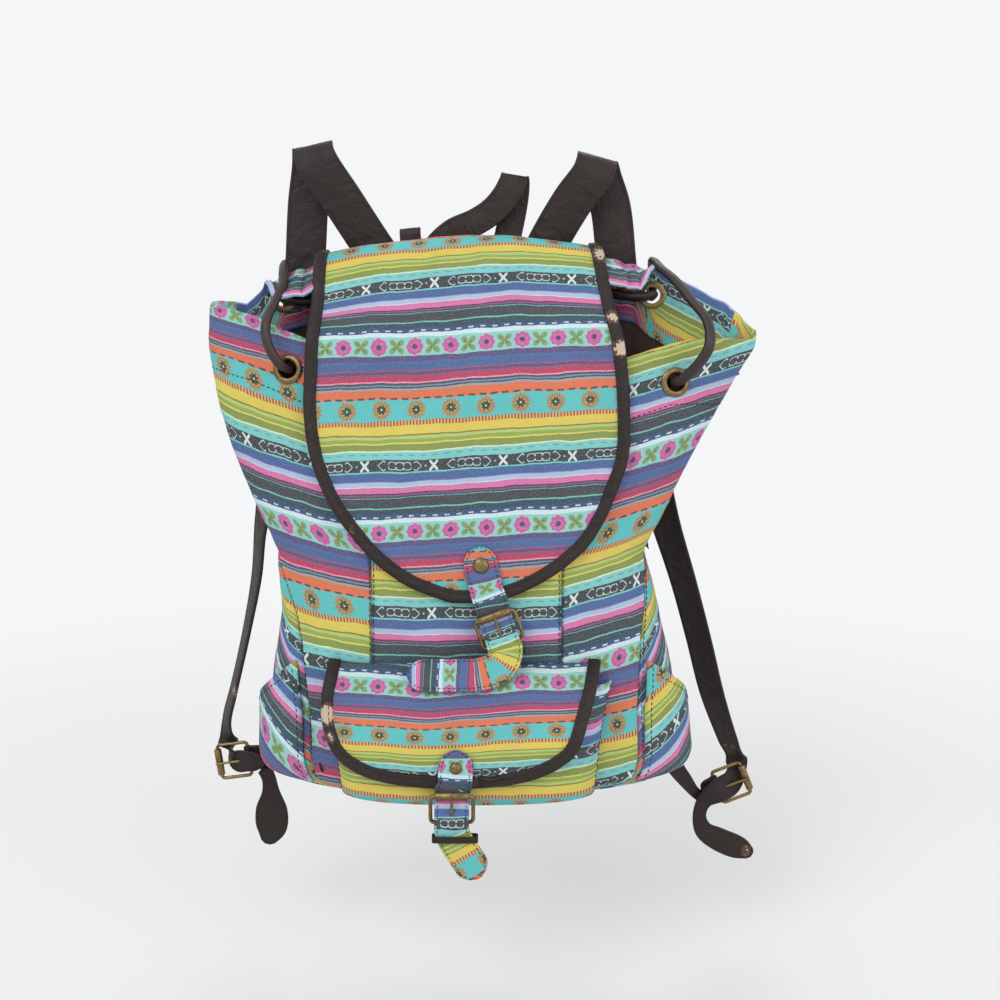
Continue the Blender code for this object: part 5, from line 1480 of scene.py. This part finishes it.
def make_side_pockets():
    """The two patch pockets on the gussets, a little bulged, with their stitching."""
    for name, first, last, forward in (("left_side_pocket", "back_left", "side_left", True),
                                       ("right_side_pocket", "side_right", "back_right_again", False)):
        rows, columns = 40, 44
        grid, widths = np.zeros((rows, columns, 3)), []
        for c in range(columns):
            share = c / (columns - 1)
            front = share if forward else 1 - share
            top = np.interp(front, (0, 0.45, 1), (SIDE_POCKET_TOP[2], SIDE_POCKET_TOP[1], SIDE_POCKET_TOP[0]))
            foot = bottom_z(wall_point(first, last, share, -480, BOTTOM_R)[0]) + SIDE_POCKET_FOOT
            for r in range(rows):
                z = foot + (top - foot) * r / (rows - 1)
                bulge = SIDE_POCKET_BULGE * math.sin(math.pi * share) ** 0.6 * (0.35 + 0.65 * r / (rows - 1))
                rise = min(z - foot + SIDE_POCKET_FOOT, BOTTOM_R)
                x, y, width = wall_point(first, last, share, z, rise, 2.0, PANEL_T + 0.9 + bulge)
                grid[r, c] = (x, y, z)
                widths.append(width)
        normals = grid_normals(grid)
        calm = np.sin(np.pi * np.linspace(0, 1, columns))[None] * smooth_step(np.linspace(0, 1, rows), 0, 0.2)[:, None]
        grid = grid + normals * (calm * np.clip(1.3 * drift(grid, 30, 2.0) + 0.3, -0.6, 1.6))[..., None]
        away = np.linspace(0, np.mean(widths), columns)[None]
        if forward:
            v = 40 + 0.75 * ((-400 - grid[..., 2]) + 0.9 * (away[0, -1] - away))
        else:
            v = 0.8 * ((-400 - grid[..., 2]) + 0.75 * away)
        uv = np.stack([np.broadcast_to(away, grid.shape[:2]), v], axis=2)
        canvas(name, grid, uv, 1.3)
        normals = grid_normals(grid)
        rows_at = np.arange(1, rows - 1)
        runs = [line_on(grid, normals, np.full(columns - 4, rows - 4.0), np.arange(2, columns - 2))]
        runs += [line_on(grid, normals, rows_at, np.full(len(rows_at), c)) for c in (1.2, columns - 2.2)]
        sew(name, runs)


def buckle_frame_of(joint):
    """Pivot, direction to the roller, bar direction and outward normal of a buckle, from its joints."""
    pivot = np.array(JOINTS[joint + "_hinge"]["pos_m"]) / MM
    roller = np.array(JOINTS[joint + "_roller_spin"]["pos_m"]) / MM
    bar = unit(JOINTS[joint + "_hinge"]["axis"])
    along = unit(roller - pivot)
    normal = np.cross(bar, along)
    if normal[1] > 0:
        normal = -normal
    return pivot, along, bar, normal, float(np.linalg.norm(roller - pivot))


def make_buckle(prefix, joint, inner_width, tab_rows):
    """Wire frame, roller tube and prong of one buckle, each on its own body, and its leather tab on the bag's body."""
    pivot, along, bar, normal, length = buckle_frame_of(joint)
    half = inner_width / 2 + WIRE_R
    corner = 3.0
    outline = []
    for sx, sy, start in ((1, 1, 0), (-1, 1, 90), (-1, -1, 180), (1, -1, 270)):
        mid = np.array([sx * (half - corner), (length - corner) if sy > 0 else corner])
        for a in np.radians(np.linspace(start, start + 90, 7)):
            outline.append(mid + corner * np.array([math.cos(a), math.sin(a)]))
    ring = [pivot + bar * x + along * y for x, y in outline]
    obj = wire("brass_" + prefix + "_frame", ring, [WIRE_R] * len(ring), finish_of("brass"), cyclic=True)
    settle(obj, "antique_brass", prefix + "_buckle_frame", body=joint)

    reach = half - corner - 0.6
    inner, outer = ROLLER_IN, ROLLER_OUT
    profile = [(inner, reach), (inner + 0.25, reach + 0.1), (outer - 0.3, reach), (outer, reach - 0.4),
               (outer, -reach + 0.4), (outer - 0.3, -reach), (inner + 0.25, -reach - 0.1), (inner, -reach)]
    obj = turned("brass_" + prefix + "_roller", profile, pivot + along * length, bar, finish_of("brass"))
    settle(obj, "antique_brass", prefix + "_buckle_roller", body=joint + "_roller")

    points = hook(pivot, along, normal, HOOK_R, 360, 90, 28)
    lean = (outer + PRONG_R + 0.4 - HOOK_R) / length
    points += [pivot + normal * (HOOK_R + lean * s) + along * s for s in np.linspace(length * 0.1, length + 2.5, 12)]
    shares = [0.9] * 3 + [1.0] * (len(points) - 6) + [0.95, 0.85, 0.6]
    obj = wire("brass_" + prefix + "_prong", points, [PRONG_R * share for share in shares], finish_of("brass"))
    settle(obj, "antique_brass", prefix + "_buckle_prong", body=joint + "_prong")

    full = 2 * (half - corner) - 2
    back = pivot - tab_rows[-1][:3]
    back = unit(back - np.dot(back, bar) * bar)
    eye = WIRE_R + BAR_PLAY
    rows = [np.concatenate([r[:6], [min(r[6], full)]]) for r in tab_rows]
    for reach in (-8.0, -5.0):
        rows.append(np.concatenate([pivot + back * reach, bar, [full]]))
    lift = np.cross(bar, back)
    lift = lift if np.dot(lift, normal) > 0 else -lift
    ring = []
    for a in np.radians(np.linspace(-150, 150, 15)):
        place = pivot + (eye + CHAPE_T / 2) * (math.cos(a) * back + math.sin(a) * lift)
        ring.append(np.concatenate([place, bar, [full]]))
    low = rows[-1].copy()
    low[:3] -= lift * CHAPE_T * 0.5
    high = rows[-1].copy()
    high[:3] += lift * CHAPE_T * 0.55
    lower = Strip([*rows[:-1], low, *ring[:8]], 1.2, CHAPE_T)
    end = np.concatenate([pivot - back * 9.0 + lift * CHAPE_T * 0.6, bar, [full * 0.94]])
    upper = Strip([*ring[7:], high, end], 1.2, CHAPE_T)
    obj = lower.solid("leather_" + prefix + "_tab", finish_of("leather"))
    settle(obj, "brown_leather", prefix + "_buckle_tab")
    settle(upper.solid("leather_" + prefix + "_tab_turn", finish_of("leather")), "brown_leather")
    return pivot, along, bar, normal


def closure(name, rows, rivet_row, rivet_radius, along_print, rivet_name):
    """A striped strap stitched on both faces, and the domed rivet that holds it."""
    strip = Strip(rows, 2.0, CLOSURE_T, round_start=True, round_end=True)
    obj = strip.solid("canvas_" + name, finish_of("canvas"), along_print, groove=0.1)
    settle(obj, "striped_canvas", name)
    sew(name, strip.stitch_runs(2.3, CLOSURE_T / 2 + 0.1), 2.6, 1.2, 0.33)
    top = rows[rivet_row]
    centre = np.array([top[0], top[1] - CLOSURE_T / 2 - 0.2, top[2]])
    r = rivet_radius
    profile = [(0.02, 3.0), (r * 0.3, 2.9), (r * 0.6, 2.5), (r * 0.85, 1.7), (r, 0.8), (r * 1.02, 0.3), (r, 0.0),
               (0.02, 0.0)]
    obj = turned("brass_" + rivet_name, profile, centre, (0, -1, 0.05), finish_of("brass"))
    settle(obj, "antique_brass", rivet_name)


def make_closures():
    """The two striped straps with their rivets and buckles, and the pocket strap's keeper."""
    place = make_buckle("main", "main_buckle", CLOSURE_W + 3,
                        [station(32, front_y(32, -384) - 2.4, -384, 1, 0, 0.36, 30),
                         station(31, front_y(31, -380) - 6, -380, 1, 0, 0.36, 30)])
    rows = [station(8, front_y(8, -299) - 7.4, -298, 1, 0, 0.06, CLOSURE_W),
            station(9.5, front_y(10, -312) - 7.5, -312, 1, 0, 0.1, CLOSURE_W),
            station(14, front_y(14, -332) - 8.4, -332, 0.96, 0, 0.28, CLOSURE_W),
            station(17, front_y(17, -340) - 8.6, -340, 0.94, 0, 0.34, CLOSURE_W)]
    rows += through_buckle(place, MAIN_BUCKLE, CLOSURE_W, CLOSURE_T)
    rows += [station(23, -126, -386, 0.62, -0.35, -0.7, CLOSURE_W),
             station(9, -128.5, -391, 0.1, -0.6, -0.79, CLOSURE_W)]
    rows += [station(x, -128, -392, 0, -0.6, -0.8, CLOSURE_W) for x in (-10, -30, -46)]
    closure("main_closure_strap", rows, 1, 6.0, lambda s, total: 146 - 230 * s / total, "main_closure_rivet")

    place = make_buckle("pocket", "pocket_buckle", CLOSURE_W + 3,
                        [station(-12, pocket_point(-12, -486)[1] - 2.2, -486, 1, 0, 0, 30),
                         station(-12, pocket_point(-12, -490)[1] - 5.5, -491, 1, 0, 0, 30)])
    rows = [station(-9, pocket_flap_point(-9, -444)[1] - 2.0, -444, 1, 0, 0, CLOSURE_W),
            station(-9, pocket_flap_point(-9, -457)[1] - 2.8, -457, 1, 0, 0, CLOSURE_W),
            station(-9.5, pocket_flap_point(-9, -464)[1] - 3.6, -464, 1, 0, 0, CLOSURE_W),
            station(-10, pocket_flap_point(-9, -472)[1] - 3.6, -472, 1, 0, 0, CLOSURE_W)]
    rows += through_buckle(place, POCKET_BUCKLE, CLOSURE_W, CLOSURE_T)
    low_y = rows[-1][1]
    rows += [station(-6, low_y - 0.3, -514, 0.95, 0, 0.3, CLOSURE_W),
             station(3, low_y - 1.5, -528, 0.88, 0, 0.45, CLOSURE_W),
             station(9, low_y - 2.5, -537, 0.86, 0, 0.5, CLOSURE_W)]
    closure("pocket_closure_strap", rows, 1, 4.6, lambda s, total: 115 - 119 * s / total, "pocket_closure_rivet")

    half_w, half_t = CLOSURE_W / 2 + 3.6, CLOSURE_T / 2 + 2.1
    ring = []
    for a in np.linspace(0, 2 * math.pi, 48, endpoint=False):
        c, s = math.cos(a), math.sin(a)
        ring.append((-9.5 + half_w * np.sign(c) * abs(c) ** 0.22,
                     low_y + 0.2 + half_t * np.sign(s) * abs(s) ** 0.3, -507.0))
    ring = np.array(ring)
    middle = ring.mean(axis=0)
    sections = []
    for out, up in ((0.65, 2.3), (0.5, 2.6), (-0.5, 2.6), (-0.65, 2.3), (-0.65, -2.3), (-0.5, -2.6), (0.5, -2.6),
                    (0.65, -2.3)):
        away = (ring - middle) * (1, 1, 0)
        step = away / np.linalg.norm(away, axis=1, keepdims=True)
        sections.append(ring + step * out + UP * up)
    obj = loft("leather_pocket_keeper", np.stack(sections, axis=1), finish_of("leather"), closed=True)
    settle(obj, "brown_leather", "pocket_strap_keeper")


def leather_strip(name, stations, thickness, node, wear=(), round_end=False, step=2.0):
    """A strap of leather-look sheet with a line of stitches along each edge, on both faces."""
    strip = Strip(stations, step, thickness, round_end=round_end)
    obj = strip.solid("leather_" + name, finish_of("leather"), groove=0.22)
    mark_wear(obj, wear)
    settle(obj, "brown_leather", node)
    sew(name, strip.stitch_runs(2.4, thickness / 2 - 0.15), 3.0, 1.3, 0.3)


def make_straps():
    """The shoulder straps with their buckles, the carrying loop and the small tab."""
    left = make_buckle("left_strap", "left_strap_buckle", 27.0,
                       [station(-166, -17, -499, 0.1, 0, -1, 20), station(-176, -12, -502, 0.1, 0, -1, 20)])
    pivot, along, bar, normal = left
    rows = [station(*r) for r in LEFT_STRAP_TOP] + [
        np.concatenate([pivot + along * 13 - normal * 0.6, bar, [20]]),
        np.concatenate([pivot + along * 1 + normal * 6.4, bar, [19]])] + [station(*r) for r in LEFT_STRAP_TAIL]
    leather_strip("left_shoulder_strap", rows, STRAP_T, "left_shoulder_strap",
                  [((-201, -5, -445), 9, 0.85), ((-189, 0, -358), 6, 0.6), ((-173, -19, -560), 8, 0.5)], round_end=True)

    right = make_buckle("right_strap", "right_strap_buckle", 27.0,
                        [station(168, -30, -498, -0.82, 0, -0.57, 16), station(181, -21, -518, -0.75, 0, -0.66, 13),
                         station(197, -13.5, -537, -0.25, 0, -0.97, 11)])
    pivot, along, bar, normal = right
    rows = [station(*r) for r in RIGHT_STRAP_TOP] + [
        np.concatenate([pivot + along * 14 - normal * 0.6, bar, [22]]),
        np.concatenate([pivot + along * 1 + normal * 6.2, bar, [22]])] + [station(*r) for r in RIGHT_STRAP_TAIL]
    leather_strip("right_shoulder_strap", rows, STRAP_T, "right_shoulder_strap",
                  [((222, -5, -495), 8, 0.6), ((236, -18, -586), 8, 0.7)], round_end=True)

    leather_strip("haul_loop", [station(*r) for r in HAUL_LOOP], 2.0, "haul_loop",
                  [((36, 0, -16), 9, 0.55)])
    leather_strip("small_tab", [station(*r) for r in SMALL_TAB], 1.5, "small_tab", step=1.2)


def make_drawstring():
    """The creased cord round the mouth, and the knot inside the front that joins its ends."""
    fl, fl_n = eyelet_place("eyelet_front_left")
    fr, fr_n = eyelet_place("eyelet_front_right")
    bl, bl_n = eyelet_place("eyelet_back_left")
    br, br_n = eyelet_place("eyelet_back_right")
    route = [
        (-9, -62, -190), (-40, -62, -187), (-85, -58, -179), (-120, -50, -170), fl - fl_n * 10, fl + fl_n * 4,
        fl + fl_n * 12 + (-4, 0, 4), (-153, -76, -146), (-155, -70, -130), (-150, -58, -115), (-146, -44, -102),
        (-147, -30, -91), (-149, -17, -86), (-151, -6, -90), (-151, -2, -101), bl + bl_n * 7, bl - bl_n * 8,
        (-134, -31, -115), (-95, -24, -112), (-45, -19, -106), (0, -18.5, -104), (50, -19, -104), (95, -23, -106),
        (132, -30, -111), br - br_n * 8, br + br_n * 7, (148, -2, -99), (148, -5, -87), (147, -16, -83),
        (150, -30, -88), (160, -46, -98), (172, -62, -114), (182, -76, -130), (182, -84, -148),
        fr + fr_n * 13 + (8, 0, 8), fr + fr_n * 4, fr - fr_n * 10, (138, -52, -182), (95, -60, -188), (45, -63, -190),
        (9, -62, -190),
    ]
    points = smooth_route(route, 4.0)
    along = np.gradient(points, axis=0)
    across = np.cross(along, UP)
    for i in range(1, len(across)):
        across[i] = across[i - 1] - along[i] * np.dot(across[i - 1], along[i]) / np.dot(along[i], along[i])
    sections = tube_sections(points, 2 * CORD_R + 0.8, 2 * CORD_R - 1.6, across, 18)
    middle = points[:, None]
    crease = 0.10 * drift(sections * (1, 1, 0.8), 9, 4.0) - 0.10 * np.abs(drift(sections, 16, 7.0))
    sections = middle + (sections - middle) * (1 + crease)[..., None]
    obj = loft("cord_drawstring", sections, finish_of("cord"))
    settle(obj, "brown_cord", "drawstring")
    profile = [(0.02, 4.0), (3.0, 3.8), (5.6, 3.0), (7.6, 1.6), (8.4, 0), (7.6, -1.6), (5.6, -3.0), (3.0, -3.8),
               (0.02, -4.0)]
    knot = turned("cord_knot", profile, (0, -57.5, -190), (0, 0, 1), finish_of("cord"))
    settle(knot, "brown_cord", "drawstring_knot")


def make_stage():
    """Camera, floor, pale world and three soft lamps."""
    camera = bpy.data.objects.new("view", bpy.data.cameras.new("view"))
    bpy.context.scene.collection.objects.link(camera)
    camera.location = Vector(CAMERA_AT) * MM
    camera.rotation_euler = (CAMERA_TILT, 0, 0)
    camera.data.lens = CAMERA_LENS
    bpy.context.scene.camera = camera
    deselect()
    bpy.ops.mesh.primitive_plane_add(size=14, location=(0, 3, FLOOR_Z * MM))
    floor = bpy.context.object
    floor.name = "floor"
    bpy.ops.object.transform_apply(location=True, rotation=True, scale=True)
    s = Shader("pale floor", 0.8)
    cloud = s.texture("ShaderNodeTexNoise", 1.2, None, 3.0)
    floor.data.materials.append(s.finish(s.mix(cloud, linear((226, 226, 224)), linear((236, 236, 235)))))
    room = colours_now()["room"]
    away = s.node("ShaderNodeVectorMath", {"operation": "LENGTH"}, {0: s.place()}, 1)
    share = s.node("ShaderNodeMapRange", {"interpolation_type": "SMOOTHSTEP"}, {0: away, 1: 0.55, 2: 1.5})
    glow = s.node("ShaderNodeEmission", None, {"Color": room, "Strength": ROOM_SEEN})
    both = s.node("ShaderNodeMixShader", None, {0: share * s.shows_room(), 1: Value(s, s.surface.outputs[0]), 2: glow})
    s.feed(s.tree.nodes["Material Output"].inputs["Surface"], both)
    for name, place, width, power in LAMPS:
        lamp = bpy.data.lights.new(name, "AREA")
        lamp.size, lamp.energy = width, power
        holder = bpy.data.objects.new(name, lamp)
        bpy.context.scene.collection.objects.link(holder)
        holder.location = place
        holder.rotation_euler = (Vector(LAMPS_AIM) - Vector(place)).to_track_quat("-Z", "Y").to_euler()
    world = bpy.data.worlds.new("pale room")
    bpy.context.scene.world = world
    world.use_nodes = True
    w = Nodes(world.node_tree)
    background = w.tree.nodes["Background"]
    w.feed(background.inputs["Color"], room)
    level = w.node("ShaderNodeMapRange", None, {0: w.shows_room(), 3: ROOM_LIGHT, 4: ROOM_SEEN})
    w.feed(background.inputs["Strength"], level)
    bpy.context.scene.view_settings.view_transform = "Standard"


# Properties, operators and panel


def length_property(label, text, value):
    """A length that the panel shows, given in millimetres."""
    return bpy.props.FloatProperty(name=label, description=text, default=value * MM, min=0.0001, precision=4,
                                   unit="LENGTH", subtype="DISTANCE")


def colour_property(label, text, colour):
    """A colour that the panel shows, given as printed, 0 to 255."""
    return bpy.props.FloatVectorProperty(name=label, description=text, default=linear(colour), size=4, min=0.0,
                                         max=1.0, subtype="COLOR")


class BackpackSizes(bpy.types.PropertyGroup):
    """Sizes of the cloth, its folds and its print."""

    hem: length_property("Hem", "Thickness of the folded edge of the mouth", HEM)
    roll_radius: length_property("Roll radius", "Radius in which the back edge rolls over", ROLL_R)
    fold_depth: length_property("Fold depth", "How deep the large folds of the walls are", FOLD_DEPTH)
    gather_depth: length_property("Gather depth", "How deep the gathers under the mouth are", GATHER_DEPTH)
    flap_slack: length_property("Flap slack", "How far the main flap's folds rise", FLAP_SLACK)
    stripe_repeat: length_property("Stripe repeat", "Length in which the stripes repeat", STRIPE_REPEAT)
    starburst_spacing: length_property("Starburst spacing", "Distance between starbursts", STARBURST_SPACING)
    flower_spacing: length_property("Flower spacing", "Distance between flowers", FLOWER_SPACING)
    chain_spacing: length_property("Chain spacing", "Distance between the crosses of the chain", CHAIN_SPACING)
    wear: bpy.props.FloatProperty(name="Wear", description="How worn the leather is", default=1.0, min=0.0, max=2.0,
                                  subtype="FACTOR")


class BackpackDyes(bpy.types.PropertyGroup):
    """Colours of the printed stripes, one for each dye."""

    __annotations__ = {name: colour_property(name.replace("_", " ").capitalize(), "Colour of the stripes in this dye",
                                             colour) for name, colour in DYES.items()}


class BackpackColours(bpy.types.PropertyGroup):
    """Colours of the leather, lining, cord, thread, brass and room."""

    __annotations__ = {name: colour_property(label, "Colour of this finish", colour)
                       for name, (label, colour) in COLOURS.items()}


class BACKPACK_OT_walls(bpy.types.Operator):
    """Six canvas walls with seams, folds and stitching, and the base"""

    bl_idname = "backpack.walls"
    bl_label = "Body walls and base"

    def execute(self, context):
        make_walls()
        return {"FINISHED"}


class BACKPACK_OT_mouth(bpy.types.Operator):
    """Striped facing folded over the edge, brown lining and brass eyelets"""

    bl_idname = "backpack.mouth"
    bl_label = "Mouth"

    def execute(self, context):
        make_mouth()
        return {"FINISHED"}


class BACKPACK_OT_main_flap(bpy.types.Operator):
    """Striped flap with its leather binding"""

    bl_idname = "backpack.main_flap"
    bl_label = "Main flap"

    def execute(self, context):
        make_main_flap()
        return {"FINISHED"}


class BACKPACK_OT_front_pocket(bpy.types.Operator):
    """Bellows pocket and its bound flap"""

    bl_idname = "backpack.front_pocket"
    bl_label = "Front pocket"

    def execute(self, context):
        make_front_pocket()
        return {"FINISHED"}


class BACKPACK_OT_side_pockets(bpy.types.Operator):
    """Two patch pockets on the gussets"""

    bl_idname = "backpack.side_pockets"
    bl_label = "Side pockets"

    def execute(self, context):
        make_side_pockets()
        return {"FINISHED"}


class BACKPACK_OT_closures(bpy.types.Operator):
    """Two striped straps with rivets, buckles and the keeper"""

    bl_idname = "backpack.closures"
    bl_label = "Closures"

    def execute(self, context):
        make_closures()
        return {"FINISHED"}


class BACKPACK_OT_straps(bpy.types.Operator):
    """Shoulder straps, side buckles, carrying loop and small tab"""

    bl_idname = "backpack.straps"
    bl_label = "Shoulder straps"

    def execute(self, context):
        make_straps()
        return {"FINISHED"}


class BACKPACK_OT_drawstring(bpy.types.Operator):
    """Cord round the mouth and its knot"""

    bl_idname = "backpack.drawstring"
    bl_label = "Drawstring"

    def execute(self, context):
        make_drawstring()
        return {"FINISHED"}


class BACKPACK_OT_stage(bpy.types.Operator):
    """Camera, floor, pale world and lamps"""

    bl_idname = "backpack.stage"
    bl_label = "Stage"

    def execute(self, context):
        make_stage()
        return {"FINISHED"}


OPERATORS = (
    BACKPACK_OT_walls, BACKPACK_OT_mouth, BACKPACK_OT_main_flap,
    BACKPACK_OT_front_pocket, BACKPACK_OT_side_pockets, BACKPACK_OT_closures,
    BACKPACK_OT_straps, BACKPACK_OT_drawstring, BACKPACK_OT_stage,
)


class BACKPACK_PT_panel(bpy.types.Panel):
    """Sizes, colours and the pieces that can be made."""

    bl_label = "Backpack"
    bl_idname = "BACKPACK_PT_panel"
    bl_space_type = "VIEW_3D"
    bl_region_type = "UI"
    bl_category = "Backpack"

    def draw(self, context):
        for group in GROUPS:
            settings = getattr(context.scene, group)
            for name in settings.bl_rna.properties.keys():
                if name not in ("rna_type", "name"):
                    self.layout.prop(settings, name)
        for kind in OPERATORS:
            self.layout.operator(kind.bl_idname)


GROUPS = {"backpack_sizes": BackpackSizes, "backpack_dyes": BackpackDyes, "backpack_colours": BackpackColours}
CLASSES = (*GROUPS.values(), *OPERATORS, BACKPACK_PT_panel)


def register():
    for kind in CLASSES:
        bpy.utils.register_class(kind)
    for name, kind in GROUPS.items():
        setattr(bpy.types.Scene, name, bpy.props.PointerProperty(type=kind))


def unregister():
    for name in GROUPS:
        delattr(bpy.types.Scene, name)
    for kind in reversed(CLASSES):
        bpy.utils.unregister_class(kind)


def main():
    """Makes every piece in order."""
    register()
    for kind in OPERATORS:
        getattr(bpy.ops.backpack, kind.bl_idname.split(".")[1])()


if __name__ == "__main__":
    main()
